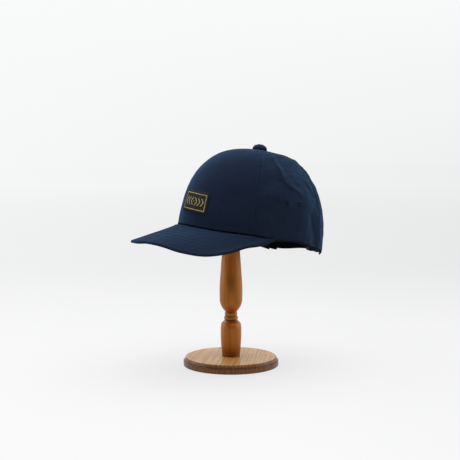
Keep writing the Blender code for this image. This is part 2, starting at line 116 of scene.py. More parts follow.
# Creases that only the finished cloth has. Each follows points of (angle, level)
Crease = namedtuple("Crease", "side depth spread points")
NEAR_RIDGE = [(69, 0.70), (73.5, 0.515), (76, 0.40), (80, 0.352), (88, 0.317), (95, 0.28)]
NEAR_VALLEY = [(74, 0.72), (78.5, 0.54), (81, 0.44), (86, 0.385), (94, 0.35), (101, 0.31)]
CREASES = [
    Crease(1, 0.0046, 0.013, NEAR_RIDGE),
    Crease(1, 0.0022, 0.006, NEAR_RIDGE),
    Crease(1, 0.0080, 0.060, [(76, 0.74), (90, 0.68), (104, 0.62)]),
    Crease(1, -0.0026, 0.017, NEAR_VALLEY),
    Crease(1, 0.0070, 0.065, [(94, 0.82), (112, 0.71), (122, 0.65), (134, 0.52)]),
    Crease(1, 0.0055, 0.055, [(34, 0.33), (52, 0.29), (75, 0.25), (96, 0.21)]),
    Crease(1, -0.0016, 0.010, [(102, 0.43), (106, 0.37), (112, 0.30)]),
    Crease(1, 0.0024, 0.014, [(105, 0.45), (110, 0.38), (115, 0.30)]),
    Crease(1, -0.0012, 0.012, [(105, 0.20), (107.6, 0.105), (112, 0.03)]),
    Crease(1, 0.0014, 0.015, [(110, 0.24), (113, 0.13), (116, 0.03)]),
    Crease(1, 0.0016, 0.014, [(62, 0.20), (74, 0.15), (90, 0.14)]),
    Crease(1, 0.0020, 0.014, [(124, 0.36), (136, 0.18)]),
    Crease(-1, 0.0040, 0.014, [(72, 0.64), (80, 0.46), (90, 0.36)]),
    Crease(-1, -0.0030, 0.012, [(96, 0.46), (108, 0.30)]),
    Crease(-1, 0.0022, 0.013, [(112, 0.22), (117, 0.04)]),
    Crease(-1, 0.0020, 0.014, [(120, 0.32), (132, 0.15)]),
]

# Lines that stand out or sink in beside a seam or the hem, at a distance from it
Line = namedtuple("Line", "distance height width")
SEAM_LINES = [Line(0.0021, 0.00026, 0.0013), Line(0.0040, -0.00020, 0.0006)]
HEM_LINES = [Line(0.0025, 0.00030, 0.0022), Line(0.0052, -0.00022, 0.0006)]
PUCKERS = Line(0.0030, 0.00008, 0.0035)
PUCKER_LENGTH = 0.0062
SEAM_WIDTH = 0.0007
SEAM_DEPTH = 0.00025
SEAM_DEPTH_ABOVE = 0.00035

# Random waves of the cloth
Ripple = namedtuple("Ripple", "height length seed")
CLOTH_RIPPLES = [Ripple(0.00020, 0.034, 5), Ripple(0.00010, 0.013, 8)]
VISOR_RIPPLE = Ripple(0.00014, 0.045, 21)
BUTTON_RIPPLE = Ripple(0.00015, 0.006, 31)
LABEL_RIPPLE = Ripple(0.00008, 0.009, 41)

# The visor
VISOR_LENGTH = 0.070
VISOR_HALF_WIDTH = 0.086
VISOR_END_ANGLE = 70.0
VISOR_THICKNESS = 0.0032
VISOR_END_WIDTH = 0.0022
VISOR_CORNER_POWER = 20
VISOR_TUCK = 0.0019
VISOR_OVERLAP = 0.0002
VISOR_GROOVE_DEPTH = 0.0012
VISOR_SEAM_LINES = [Line(0.0040, 0.0004, 0.0030), Line(0.0, -VISOR_GROOVE_DEPTH, 0.0012)]
VISOR_ROWS = [0.145, 0.27, 0.395, 0.52, 0.645, 0.77, 0.895]
VISOR_ROW_DEPTH = 0.00010
VISOR_ROW_WIDTH = 0.0007
# Drop of the visor's rim below its ends, as a share of VISOR_LENGTH
Droop = namedtuple("Droop", "share left right")
DROOPS = [
    Droop(0.0, 0.313, 0.313),
    Droop(0.25, 0.344, 0.325),
    Droop(0.4, 0.401, 0.327),
    Droop(0.5, 0.414, 0.327),
    Droop(0.6, 0.380, 0.306),
    Droop(0.7, 0.296, 0.262),
    Droop(0.8, 0.182, 0.180),
    Droop(0.88, 0.126, 0.126),
    Droop(0.94, 0.075, 0.075),
    Droop(1.0, 0.0, 0.0),
]

# Trim
SEAT = 0.0005
BAND_WIDTH = 0.032
BAND_THICKNESS = 0.0010
BAND_DROP = 0.0024
BAND_END_ANGLE = 144.6
STRAP_WIDTH = 0.019
STRAP_THICKNESS = 0.0014
STRAP_ABOVE_EDGE = 0.0022
STRAP_HALF_ANGLE = 35.0
SLIDER_EDGE_RADIUS = 0.0003
Tape = namedtuple("Tape", "angles low width thickness drop rows")
BUTTON_RADIUS = 0.0092
BUTTON_HEIGHT = 0.0080
BUTTON_LIP = BUTTON_HEIGHT * 0.22
BUTTON_SHANK_RADIUS = 0.0021
BUTTON_SHANK_DEPTH = 0.0028
LABEL_WIDTH = 0.045
LABEL_HEIGHT = 0.026
LABEL_CENTRE_HEIGHT = 0.0345
LABEL_TILT = 6.5
LABEL_THICKNESS = 0.0009
LABEL_GAP = 0.0003
LABEL_HALF_ANGLE = math.degrees(math.asin(LABEL_WIDTH / HEAD_WIDTH))
LABEL_FRAME_INSET = 0.0034
LABEL_LINE_HALF = 0.00042
CHEVRON_SPACING = 0.0054
CHEVRON_SLOPE = 0.8
CHEVRON_LINE_HALF = 0.0007
CHEVRON_HALF_HEIGHT = 0.0048
EYELET_RADIUS = 0.0034
EYELET_HOLE_RADIUS = 0.0011
EYELET_HEIGHT = 0.0445
EYELET_ANGLES = {"front": 78.5, "rear": 90.5}
EYELET_CUT_RADIUS = 0.0019
EYELET_CUT_DEPTH = 0.010
EYELET_RISE = 0.00075
EYELET_WRAPS = 24
SIDES = {"left": 1, "right": -1}

# Stitching
TOPSTITCH_OFFSET = 0.0040
HEM_STITCH_HEIGHT = 0.0052
HEM_STITCH_ANGLES = (71.0, 179.6)
ARCH_SEAM_LEVEL = 0.33
LABEL_STITCH_INSET = 0.0013
STITCH_SIDES = 6
STITCH_GAP = 0.22
# One stitch along its length: thickness and lift in thread radii
Ring = namedtuple("Ring", "share thickness lift")
STITCH_RINGS = [
    Ring(0.0, 0.35, -0.6),
    Ring(0.14, 0.9, 0.1),
    Ring(0.5, 1.0, 0.45),
    Ring(0.86, 0.9, 0.1),
    Ring(1.0, 0.35, -0.6),
]

# The stand
BASE_RADIUS = 0.0595
BASE_TOP_RADIUS = 0.0555
BASE_THICKNESS = 0.011
BASE_STEP_HEIGHT = 0.0065
BASE_COVE_SHARE = 0.6
BASE_EDGE_RADIUS = 0.0008
BASE_GRAIN_ANGLE = 82.0
POST_GAP = 0.0003
FOOT_RADIUS = 0.0130
FOOT_HEIGHT = 0.0452
BEAD_GROOVE_RADIUS = 0.0074
BEAD_RADII = (0.0088, 0.0078)
BEAD_HEIGHT = 0.0052
VASE_RADIUS = 0.0143
VASE_HEIGHT = 0.1585
Turning = namedtuple("Turning", "height radius")
FOOT_TURNINGS = [
    Turning(0.0, 0.86),
    Turning(0.25, 0.94),
    Turning(0.45, 0.99),
    Turning(0.68, 1.0),
    Turning(0.82, 0.98),
    Turning(0.93, 0.88),
    Turning(1.0, 0.63),
]
VASE_TURNINGS = [
    Turning(0.0, 0.5),
    Turning(0.013, 0.62),
    Turning(0.038, 0.81),
    Turning(0.073, 0.96),
    Turning(0.129, 1.0),
    Turning(0.217, 0.99),
    Turning(0.294, 0.93),
    Turning(0.381, 0.864),
    Turning(0.444, 0.81),
    Turning(0.72, 0.67),
    Turning(1.0, 0.62),
]

# Noise: features per metre, their detail and its roughness
Grain = namedtuple("Grain", "scale detail roughness")
CLOUD = Grain(16.0, 3.0, 0.55)
MOTTLE = Grain(210.0, 3.0, 0.6)
LINT = Grain(2300.0, 2.0, 0.7)
THREAD_TONE = Grain(140.0, 2.0, 0.5)
BAND_CLOUD = Grain(60.0, 3.0, 0.5)
LABEL_TONE = Grain(420.0, 3.0, 0.5)
BRUSHING = Grain(1.0, 3.0, 0.5)
METAL_WEAR = Grain(420.0, 3.0, 0.6)
WOOD_CLOUD = Grain(22.0, 2.0, 0.5)
WOOD_WANDER = Grain(45.0, 2.0, 0.5)
WOOD_STREAKS = Grain(520.0, 4.0, 0.65)
WOOD_PORES = Grain(1900.0, 2.0, 0.6)
RINGS_PER_METRE = 310.0
PITH = (0.017, 0.026, 0.0)

# Weaves
TWILL_SLOPE = 0.62
BAND_RIB = 0.0011
BAND_WARP = 0.0006
LABEL_WEFT = 0.00042
LABEL_WARP = 0.00050
FADED_NAVY = (0.0110, 0.0175, 0.034)

# Heights of what only the materials show
TWILL_RELIEF = 0.00010
CLOTH_RELIEF = 0.0006
PLY_RELIEF = 0.00006
BAND_RELIEF = 0.00012
LABEL_RELIEF = 0.00012
METAL_RELIEF = 0.00003
WOOD_RELIEF = 0.00010

# Varnish is the wood's shiny coat. A darkening tints the wood below its top and takes a fade to set in:
# painted shade on the side of the base's rim, and a darker foot on the post.
Varnish = namedtuple("Varnish", "coat roughness gleam")
Darkening = namedtuple("Darkening", "top fade shares")
BASE_VARNISH = Varnish(0.32, 0.08, 0.06)
BASE_PAINTED_SHADE = Darkening(BASE_THICKNESS, 0.0006, (0.32, 0.27, 0.36))
POST_VARNISH = Varnish(0.16, 0.16, 1.0)
POST_DARK_FOOT = Darkening(0.027, 0.015, (0.36, 0.40, 0.55))
# Height of the dark patch painted on the post's side towards the camera: painted shade.
CAMERA_SIDE_SHADE_HEIGHT = 0.104

# The photograph's view, for a square picture
PICTURE = 460
FOCAL_PIXELS = 950.0
SENSOR = 36.0
VIEW_AZIMUTH = 50.18
VIEW_PITCH = 4.27
VIEW_DISTANCE = 1.17845
VIEW_HEIGHT = 0.25717
VIEW_ASIDE = -0.00126
TURN = math.radians(VIEW_AZIMUTH)
VIEW_RIGHT = (math.cos(TURN), math.sin(TURN), 0)
VIEW_AHEAD = (-math.sin(TURN), math.cos(TURN), 0)

# The floor
FLOOR_HALF_WIDTH = 30.0
FLOOR_COLOUR = (0.14, 0.116, 0.102)
FLOOR_GLOW = (0.640, 0.641, 0.642)


def linear(*channels):
    """An sRGB colour, 0 to 255, as linear light."""
    shares = [channel / 255 for channel in channels]
    return tuple(s / 12.92 if s <= 0.04045 else ((s + 0.055) / 1.055) ** 2.4 for s in shares)


# Settings


def colour_setting(name, description, *channels):
    """A colour, given as sRGB channels from 0 to 255."""
    colour = {"subtype": "COLOR", "default": linear(*channels), "min": 0, "max": 1}
    return FloatVectorProperty(name=name, description=description, **colour)


def length_setting(name, description, default, low):
    length = {"subtype": "DISTANCE", "unit": "LENGTH", "default": default, "min": low}
    return FloatProperty(name=name, description=description, **length)


def light_setting(name, place, default):
    return FloatProperty(name=name, description=f"Strength of the light from {place}", default=default, min=0)


class ClothSettings(PropertyGroup):
    navy: colour_setting("Navy", "Colour of the cap's twill", 20.5, 25, 36)
    lining: colour_setting("Lining", "Colour of the sweatband", 24, 25, 29)
    thread: colour_setting("Thread", "Colour of the stitching", 20, 26, 40)
    metal: colour_setting("Metal", "Colour of the strap's slider", 34, 33, 32)
    weave: length_setting("Weave", "Distance from one twill ridge to the next", 0.0007, 0.0002)
    stitch: length_setting("Stitch", "Length of one stitch", 0.0026, 0.001)
    thread_radius: length_setting("Thread radius", "Half the sewing thread's thickness", 0.00020, 0.00005)


class LabelSettings(PropertyGroup):
    ground: colour_setting("Ground", "Colour of the label's ground", 33, 27, 25)
    gold: colour_setting("Gold", "Colour of the label's raised threads", 150, 126, 76)


class WoodSettings(PropertyGroup):
    base: colour_setting("Base", "Middle colour of the base's wood", 168, 116, 61)
    post: colour_setting("Post", "Middle colour of the post's wood", 140, 64, 5)


class StudioSettings(PropertyGroup):
    overhead: light_setting("Overhead", "above", 4.1)
    behind: light_setting("Behind", "behind", 1.0)
    sides: light_setting("Sides", "the left and the right", 2.0)
    front: light_setting("Front", "the camera's side", 0.07)
    backdrop: colour_setting("Backdrop", "Colour of the empty background", 244, 244.5, 245)


# Materials


class Wire:
    """One output of a node. Arithmetic on wires adds Math nodes to their material."""

    def __init__(self, finish, socket):
        self.finish = finish
        self.socket = socket

    def __add__(self, other):
        return self.finish.math("ADD", self, other)

    def __sub__(self, other):
        return self.finish.math("SUBTRACT", self, other)

    def __rsub__(self, other):
        return self.finish.math("SUBTRACT", other, self)

    def __mul__(self, other):
        return self.finish.math("MULTIPLY", self, other)

    def __truediv__(self, other):
        return self.finish.math("DIVIDE", self, other)

    def __abs__(self):
        return self.finish.math("ABSOLUTE", self)

    __radd__ = __add__
    __rmul__ = __mul__


class Finish:
    """A material or a world that is being built."""

    def __init__(self, name, world=None, **shader):
        self.data = world or bpy.data.materials.new(name)
        self.data.use_nodes = True
        self.tree = self.data.node_tree
        self.shader = self.tree.nodes.get("Principled BSDF")
        self.drive(**shader)

    def node(self, kind, settings=None, inputs=None, output=0):
        """Adds a node. Its settings are set first, then its sockets get values or links."""
        made = self.tree.nodes.new(kind)
        for key, value in (settings or {}).items():
            setattr(made, key, value)
        for key, value in (inputs or {}).items():
            self.feed(made.inputs[key], value)
        return Wire(self, made.outputs[output])

    def feed(self, socket, value):
        if isinstance(value, Wire):
            self.tree.links.new(value.socket, socket)
        elif socket.type == "RGBA" and len(value) == 3:
            socket.default_value = (*value, 1)
        else:
            socket.default_value = value

    def drive(self, **sockets):
        """Feeds the shader's sockets. Their names have underscores here in place of spaces."""
        for name, value in sockets.items():
            self.feed(self.shader.inputs[name.replace("_", " ")], value)

    def math(self, operation, *values):
        return self.node("ShaderNodeMath", {"operation": operation}, dict(enumerate(values)))

    def vector(self, operation, *values):
        output = "Value" if operation in ("DOT_PRODUCT", "LENGTH") else 0
        return self.node("ShaderNodeVectorMath", {"operation": operation}, dict(enumerate(values)), output)

    def mix(self, factor, first, second):
        sockets = {0: factor, 6: first, 7: second}
        return self.node("ShaderNodeMix", {"data_type": "RGBA"}, sockets, output=2)

    def joined(self, *values):
        return self.node("ShaderNodeCombineXYZ", None, dict(enumerate(values)))

    def times(self, vector, amount):
        """A colour or a vector multiplied by one wire."""
        return self.vector("MULTIPLY", vector, self.joined(amount, amount, amount))

    def split(self, vector):
        parts = self.node("ShaderNodeSeparateXYZ", None, {0: vector})
        return [Wire(self, socket) for socket in parts.socket.node.outputs]

    def place(self):
        return self.node("ShaderNodeTexCoord", output="Object")

    def cloth_uv(self):
        """Distances along and across the cloth, in metres, and 0."""
        return self.split(self.node("ShaderNodeUVMap", {"uv_map": "Cloth"}))

    def painted_inner_shade(self, place, inner):
        """Painted shade: 1 on faces that look away from the middle of the crown, and less on those inside it.
        """
        middle = tuple(CAP_PLACE @ Vector((0, 0, CROWN_HEIGHT * 0.3)))
        normal = self.node("ShaderNodeTexCoord", output="Normal")
        facing = self.vector("DOT_PRODUCT", normal, self.vector("SUBTRACT", place, middle))
        return self.step(facing, -0.012, 0.0) * (1 - inner) + inner

    def noise(self, vector, grain, times=1.0):
        sockets = {"Scale": grain.scale * times, "Detail": grain.detail, "Roughness": grain.roughness}
        return self.node("ShaderNodeTexNoise", None, {"Vector": vector, **sockets}, output="Fac")

    def wave(self, value, length=1.0):
        """A wave from 0 to 1 that repeats after a length."""
        return self.math("SINE", value * (math.tau / length)) * 0.5 + 0.5

    def step(self, value, low, high):
        """0 below low and 1 above high, smooth between them."""
        settings = {"interpolation_type": "SMOOTHSTEP"}
        return self.node("ShaderNodeMapRange", settings, {"Value": value, 1: low, 2: high})

    def clamp(self, value, low, high):
        return self.math("MINIMUM", self.math("MAXIMUM", value, low), high)

    def bump(self, height, distance, under=None):
        sockets = {"Height": height, "Distance": distance, "Strength": 1.0}
        if under is not None:
            sockets["Normal"] = under
        return self.node("ShaderNodeBump", None, sockets)


def shaded(colour, share):
    return tuple(min(1.0, share * channel) for channel in colour)


def twill(name, colour, weave):
    """Cotton twill: slanted ridges, crossing threads, soft fading, lint, and painted shade that darkens its
    inner face.
    """
    finish = Finish(
        name,
        Sheen_Weight=0.15,
        Sheen_Roughness=0.35,
        Sheen_Tint=(0.22, 0.56, 1.0),
        Specular_IOR_Level=0.02,
    )
    u, v, _ = finish.cloth_uv()
    slant = (u + v * TWILL_SLOPE) / weave
    ridge = finish.wave(slant)
    thread = finish.wave((u * TWILL_SLOPE - v) / (weave * 0.8) + finish.math("FLOOR", slant) * 0.37)
    place = finish.place()
    cloud = finish.noise(place, CLOUD)
    mottle = finish.noise(place, MOTTLE)
    lint = finish.noise(finish.vector("MULTIPLY", place, (1.0, 1.0, 0.35)), LINT)
    shade = 0.74 + ridge * 0.16 + thread * 0.07 + (cloud - 0.5) * 0.30 + mottle * 0.26
    # Faces inside the crown are painted darker: painted shade.
    shade = (shade + finish.step(lint, 0.66, 0.80) * 0.35) * finish.painted_inner_shade(place, 0.25)
    worn = tuple((fresh + faded) / 2 for fresh, faded in zip(colour, FADED_NAVY))
    rough = 0.88 + (mottle - 0.5) * 0.14 - ridge * 0.05
    soft = finish.bump(cloud * 0.5 + mottle * 0.5, CLOTH_RELIEF)
    woven = finish.bump(ridge * (0.75 + thread * 0.25) + lint * 0.3, TWILL_RELIEF, soft)
    tone = finish.times(finish.mix(cloud * 0.35, colour, worn), shade)
    finish.drive(Base_Color=tone, Roughness=rough, Normal=woven)
    return finish.data


def sewing_thread(name, colour):
    """Twisted matt thread."""
    finish = Finish(name, Specular_IOR_Level=0.04)
    u, v, _ = finish.cloth_uv()
    ply = finish.wave(u * 2.0 + v)
    tone = finish.noise(finish.place(), THREAD_TONE)
    shade = 0.72 + ply * 0.3 + (tone - 0.5) * 0.5
    rough = 0.62 + (tone - 0.5) * 0.2
    twisted = finish.bump(ply, PLY_RELIEF)
    finish.drive(Base_Color=finish.times(colour, shade), Roughness=rough, Normal=twisted)
    return finish.data


def band_cloth(name, colour):
    """Closely woven tape with a rib along its length."""
    finish = Finish(name, Specular_IOR_Level=0.04)
    u, v, _ = finish.cloth_uv()
    rib = finish.wave(v, BAND_RIB)
    warp = finish.wave(u, BAND_WARP)
    cloud = finish.noise(finish.place(), BAND_CLOUD)
    shade = 0.7 + rib * 0.25 + (cloud - 0.5) * 0.5
    raised = finish.bump(rib + warp * 0.4, BAND_RELIEF)
    finish.drive(Base_Color=finish.times(colour, shade), Roughness=0.84 + cloud * 0.1, Normal=raised)
    return finish.data


def woven_label(name, ground, gold):
    """Dark ground with a border, and a lozenge between outward chevrons in gold thread."""
    finish = Finish(name, Specular_IOR_Level=0.08)
    u, v, _ = finish.cloth_uv()

    def band(distance, half):
        return 1 - finish.step(abs(distance), half * 0.75, half * 1.25)

    from_edge = finish.math("MINIMUM", LABEL_WIDTH / 2 - abs(u), LABEL_HEIGHT / 2 - abs(v))
    border = band(from_edge - LABEL_FRAME_INSET, LABEL_LINE_HALF)
    chevrons = finish.math("PINGPONG", abs(u) + abs(v) * CHEVRON_SLOPE, CHEVRON_SPACING / 2)
    chevrons = band(chevrons, CHEVRON_LINE_HALF)
    low = 1 - finish.step(abs(v), CHEVRON_HALF_HEIGHT - 0.0002, CHEVRON_HALF_HEIGHT)
    inside = finish.step(from_edge, LABEL_FRAME_INSET + 0.0014, LABEL_FRAME_INSET + 0.0017)
    motif = finish.math("MAXIMUM", border, chevrons * low * inside)
    weft = finish.wave(v, LABEL_WEFT)
    warp = finish.wave(u, LABEL_WARP)
    tone = finish.noise(finish.place(), LABEL_TONE)
    shade = 0.78 + weft * 0.16 + (tone - 0.5) * 0.6 + warp * 0.08
    colour = finish.times(finish.mix(motif, ground, gold), shade)
    raised = finish.bump(motif + weft * 0.2 + warp * 0.1, LABEL_RELIEF)
    finish.drive(Base_Color=colour, Roughness=0.8 - motif * 0.25, Normal=raised)
    return finish.data


def dark_metal(name, colour):
    """Brushed dark metal, paler where it has been rubbed."""
    finish = Finish(name, Metallic=1.0)
    place = finish.place()
    brushed = finish.noise(finish.vector("MULTIPLY", place, (60.0, 60.0, 2200.0)), BRUSHING)
    worn = finish.noise(place, METAL_WEAR)
    tone = finish.mix(finish.step(worn, 0.55, 0.75) * 0.5, colour, shaded(colour, 2.6))
    scratched = finish.bump(brushed, METAL_RELIEF)
    finish.drive(Base_Color=tone, Roughness=0.3 + brushed * 0.2, Normal=scratched)
    return finish.data


def turned_wood(name, colour, along, scale, varnish, darkening, painted_shade_rings, camera_side_shade=None):
    """Varnished wood whose grain runs along a unit vector, and is finer at a larger scale.

    Painted shade rings are heights of darker rings, painted shade in the grooves. A camera side shade is the
    middle of an upright dark patch, painted shade on the side that faces the camera.
    """
    finish = Finish(
        name,
        Coat_Roughness=varnish.roughness,
        Coat_IOR=1.4,
        IOR=1.6,
        Specular_IOR_Level=varnish.gleam,
        Specular_Tint=(1.0, 0.52, 0.12),
    )
    place = finish.place()
    length = finish.times(along, finish.vector("DOT_PRODUCT", place, along))
    across = finish.vector("SUBTRACT", place, length)
    grain = finish.vector("ADD", across, finish.vector("MULTIPLY", length, (0.07, 0.07, 0.07)))
    wander = finish.noise(grain, WOOD_WANDER, scale)
    from_pith = finish.vector("LENGTH", finish.vector("ADD", grain, PITH))
    rings = finish.wave(from_pith * (RINGS_PER_METRE * scale) + wander * 5.0)
    streaks = finish.noise(grain, WOOD_STREAKS, scale)
    pores = finish.step(finish.noise(grain, WOOD_PORES, scale), 0.58, 0.72)
    dark = 0.25 + rings * 0.35 + (streaks - 0.5) * 0.9
    tone = finish.mix(dark, shaded(colour, 1.40), shaded(colour, 0.45))
    tone = finish.mix(pores * 0.35, tone, shaded(colour, 0.35))
    height = finish.split(place)[2]
    # Below the darkening's top the wood is darker: painted shade on the side of the base's rim, and a darker
    # foot on the post.
    above = finish.step(height, darkening.top - darkening.fade, darkening.top)
    tone = finish.mix(above, finish.vector("MULTIPLY", tone, darkening.shares), tone)
    shade = 0.88 + finish.noise(place, WOOD_CLOUD) * 0.24
    # Painted shade: the wood is darker in rings at the grooves' heights.
    for groove in painted_shade_rings:
        shade = shade * (finish.step(abs(height - groove), 0.0003, 0.0015) * 0.5 + 0.5)
    # Painted shade: an upright dark patch on the side of the post that faces the camera.
    if camera_side_shade:
        gap = finish.vector("MULTIPLY", finish.vector("SUBTRACT", place, camera_side_shade), (1, 1, 0.26))
        gap = finish.vector("LENGTH", gap) + (streaks - 0.5) * 0.006
        shade = shade * (finish.step(gap, 0.0006, 0.0058) * 0.60 + 0.40)
    finish.drive(
        Base_Color=finish.times(tone, shade),
        Roughness=0.38 + pores * 0.2 + (streaks - 0.5) * 0.25,
        Normal=finish.bump(pores * -0.6 + streaks * 0.4, WOOD_RELIEF),
        Coat_Weight=varnish.coat - pores * 0.2,
    )
    return finish.data


# Shapes of the crown


def smooth_curve(value, rows):
    """A smooth curve through rows of (place, height), level at its first and last row."""
    places, heights = (np.array(column, float) for column in zip(*rows))
    slopes = np.gradient(heights, places)
    slopes[0] = slopes[-1] = 0
    value = np.clip(value, places[0], places[-1])
    i = np.clip(np.searchsorted(places, value, side="right") - 1, 0, len(places) - 2)
    step = places[i + 1] - places[i]
    t = (value - places[i]) / step
    start = (2 * t**3 - 3 * t**2 + 1) * heights[i] + (t**3 - 2 * t**2 + t) * step * slopes[i]
    return start + (3 * t**2 - 2 * t**3) * heights[i + 1] + (t**3 - t**2) * step * slopes[i + 1]


def bell(distance, width):
    return np.exp(-((distance / width) ** 2))


def lines_height(distance, lines):
    return sum(line.height * bell(distance - line.distance, line.width) for line in lines)


def exponents(angle):
    """The crown's roundness along its girth and up its rise, as powers of a superellipse."""
    c = np.cos(np.radians(angle))
    front, back = np.clip(c, 0, 1) ** 2, np.clip(-c, 0, 1) ** 2
    weights = {"front": front, "side": 1 - front - back, "back": back}
    girth = sum(weight * SECTIONS[name].girth for name, weight in weights.items())
    rise = sum(weight * SECTIONS[name].rise for name, weight in weights.items())
    return girth, rise


def edge_height(angle):
    """Height of the crown's lower edge."""
    turned = (np.asarray(angle, float) + 180) % 360 - 180
    across = np.clip(turned / FRONT_SEAM_ANGLE, -1, 1)
    skew = FRONT_SKEW * np.sin(across * np.pi)
    return CROWN_HEIGHT * smooth_curve(np.abs(turned), EDGES) - skew


def reach(angle, level):
    """Distance from the crown's axis, as a share of its reach at the lower edge."""
    return np.cos(level * np.pi / 2) ** (2 / exponents(angle)[0])


def plain_crown(angle, level):
    """Points of the crown without folds. Level runs from 0 at the edge to 1 at the top."""
    angle, level = np.broadcast_arrays(np.asarray(angle, float), np.asarray(level, float))
    radius = reach(angle, level)
    height = np.sin(level * np.pi / 2) ** (2 / exponents(angle)[1])
    edge = edge_height(angle)
    x = HEAD_WIDTH / 2 * np.sin(np.radians(angle)) * radius
    y = -HEAD_LENGTH / 2 * np.cos(np.radians(angle)) * radius
    y = y - CROWN_TOP_FORWARD * (1 - radius)
    return np.stack([x, y, edge + (CROWN_HEIGHT - edge) * height], -1)


def crown_normal(angle, level):
    step = 0.002
    low = np.clip(level, step, 1 - 2 * step)
    along = plain_crown(angle + 1, low) - plain_crown(angle - 1, low)
    up = plain_crown(angle, low + step) - plain_crown(angle, low - step)
    normal = np.cross(along, up)
    return normal / np.linalg.norm(normal, axis=-1, keepdims=True)


def flat_place(angle, level):
    """About where a point of the crown lies when the cloth is flat."""
    across = np.radians(angle) * HEAD_WIDTH / 2 * np.cos(level * np.pi / 2) ** 0.8
    return np.stack([across, level * (CROWN_HEIGHT + HEAD_WIDTH / 4)], -1)


def line_distance(place, start, end):
    """Distance of points of the flat cloth from a line, and the share of its length they lie at."""
    run = end - start
    share = np.clip(((place - start) @ run) / (run @ run), 0, 1)
    return np.linalg.norm(place - start - share[..., None] * run, axis=-1), share


def fold_height(angle, level):
    place = flat_place(angle, level)
    total = np.zeros(place.shape[:-1])
    for fold in FOLDS:
        start = flat_place(fold.side * fold.angle_a, np.float64(fold.level_a))
        end = flat_place(fold.side * fold.angle_b, np.float64(fold.level_b))
        away = line_distance(place, start, end)[0]
        total += fold.depth * HEAD_WIDTH * bell(away, fold.spread * HEAD_WIDTH)
    return total


def crease_height(place):
    """Height of the narrow creases, which fade out towards both ends."""
    total = np.zeros(place.shape[:-1])
    for crease in CREASES:
        points = [flat_place(crease.side * angle, np.float64(level)) for angle, level in crease.points]
        near = np.full(place.shape[:-1], np.inf)
        along = np.zeros(place.shape[:-1])
        for i, (start, end) in enumerate(zip(points, points[1:])):
            away, share = line_distance(place, start, end)
            along = np.where(away < near, (i + share) / (len(points) - 1), along)
            near = np.minimum(near, away)
        fade = np.clip(np.sin(along * np.pi) * 1.6, 0, 1)
        total += crease.depth * HEAD_WIDTH * fade * bell(near, crease.spread * HEAD_WIDTH)
    return total


def level_at(angle, height):
    """The level that lies at a height above the crown's edge."""
    rise = exponents(angle)[1]
    share = np.clip(height / (CROWN_HEIGHT - edge_height(angle)), 0, 1)
    return 2 / np.pi * np.arcsin(share ** (rise / 2))


def ripples(place, length, seed):
    """Smooth random waves of about unit height over points of the flat cloth."""
    draw = np.random.default_rng(seed)
    total = np.zeros(place.shape[:-1])
    count = 16
    for turn, phase, size in zip(
        draw.uniform(0, math.tau, count),
        draw.uniform(0, math.tau, count),
        draw.uniform(0.7, 1.5, count),
    ):
        wave = place[..., 0] * math.cos(turn) + place[..., 1] * math.sin(turn)
        total += np.sin(wave * math.tau / length * size + phase)
    return total * math.sqrt(2 / count)


def rippled(place, ripple):
    return ripple.height * ripples(place, ripple.length, ripple.seed)


def seam_distance(angle, level):
    """Distance along the cloth to the nearest seam."""
    arm = HEAD_WIDTH / 2 * reach(angle, level) + 1e-6
    turned = np.abs((angle + 180) % 360 - 180)
    gaps = [np.abs(turned - seam) for seam in (FRONT_SEAM_ANGLE, REAR_SEAM_ANGLE, 180.0)]
    return np.radians(np.minimum.reduce(gaps)) * arm


def relief(angle, level):
    """How far the finished cloth stands out from the plain crown."""
    angle, level = np.broadcast_arrays(np.asarray(angle, float), np.asarray(level, float))
    place = flat_place(angle, level)
    turned = np.abs((angle + 180) % 360 - 180)
    limp = 0.35 + 0.65 * np.clip((turned - FRONT_SEAM_ANGLE + 6) / 12, 0, 1)
    taut = 0.5 * np.clip((turned - 62) / 10, 0, 1) * np.clip((level - 0.22) / 0.1, 0, 1)
    total = fold_height(angle, level) * (1 - taut) + crease_height(place)
    total += limp * sum(rippled(place, ripple) for ripple in CLOTH_RIPPLES)
    away = seam_distance(angle, level)
    gathers = np.sin(place[..., 1] * math.tau / PUCKER_LENGTH + 1.3 * ripples(place, 0.02, 3))
    total += lines_height(away, [PUCKERS]) * gathers + lines_height(away, SEAM_LINES)
    total -= (SEAM_DEPTH + SEAM_DEPTH_ABOVE * np.clip(level / 0.3, 0, 1)) * bell(away, SEAM_WIDTH)
    up = (level * np.pi / 2) ** (2 / exponents(angle)[1]) * CROWN_HEIGHT
    return total + lines_height(up, HEM_LINES)


def crown_cloth(angle, level, depth=0.0, drop=0.0, plain=False):
    """Points of the crown's cloth in the cap's own frame, with its folds only when plain."""
    angle, level = np.broadcast_arrays(np.asarray(angle, float), np.asarray(level, float))
    lift = fold_height(angle, level) if plain else relief(angle, level)
    points = plain_crown(angle, level) + (lift - depth)[..., None] * crown_normal(angle, level)
    points[..., 2] -= drop
    return points


def placed(points):
    """Points from the cap's own frame to the row's."""
    return np.asarray(points) @ CAP_TURN.T + np.array(CAP_CENTRE)


def crown_line(angle, level, depth=0.0, plain=False):
    """Placed points of the crown's cloth and their outward normals."""
    return placed(crown_cloth(angle, level, depth, plain=plain)), crown_normal(angle, level) @ CAP_TURN.T


# Meshes


def grid_faces(rows, columns, ring_rows=False, ring_columns=False):
    """Faces of a grid of points, closed along its rows or its columns if they are rings."""
    r = np.arange(rows if ring_rows else rows - 1)
    c = np.arange(columns if ring_columns else columns - 1)
    r, c = np.meshgrid(r, c, indexing="ij")
    r1, c1 = (r + 1) % rows, (c + 1) % columns
    corners = [r * columns + c, r * columns + c1, r1 * columns + c1, r1 * columns + c]
    return np.stack([corner.ravel() for corner in corners], -1).tolist()


def new_object(name, data):
    obj = bpy.data.objects.new(name, data)
    bpy.context.scene.collection.objects.link(obj)
    return obj


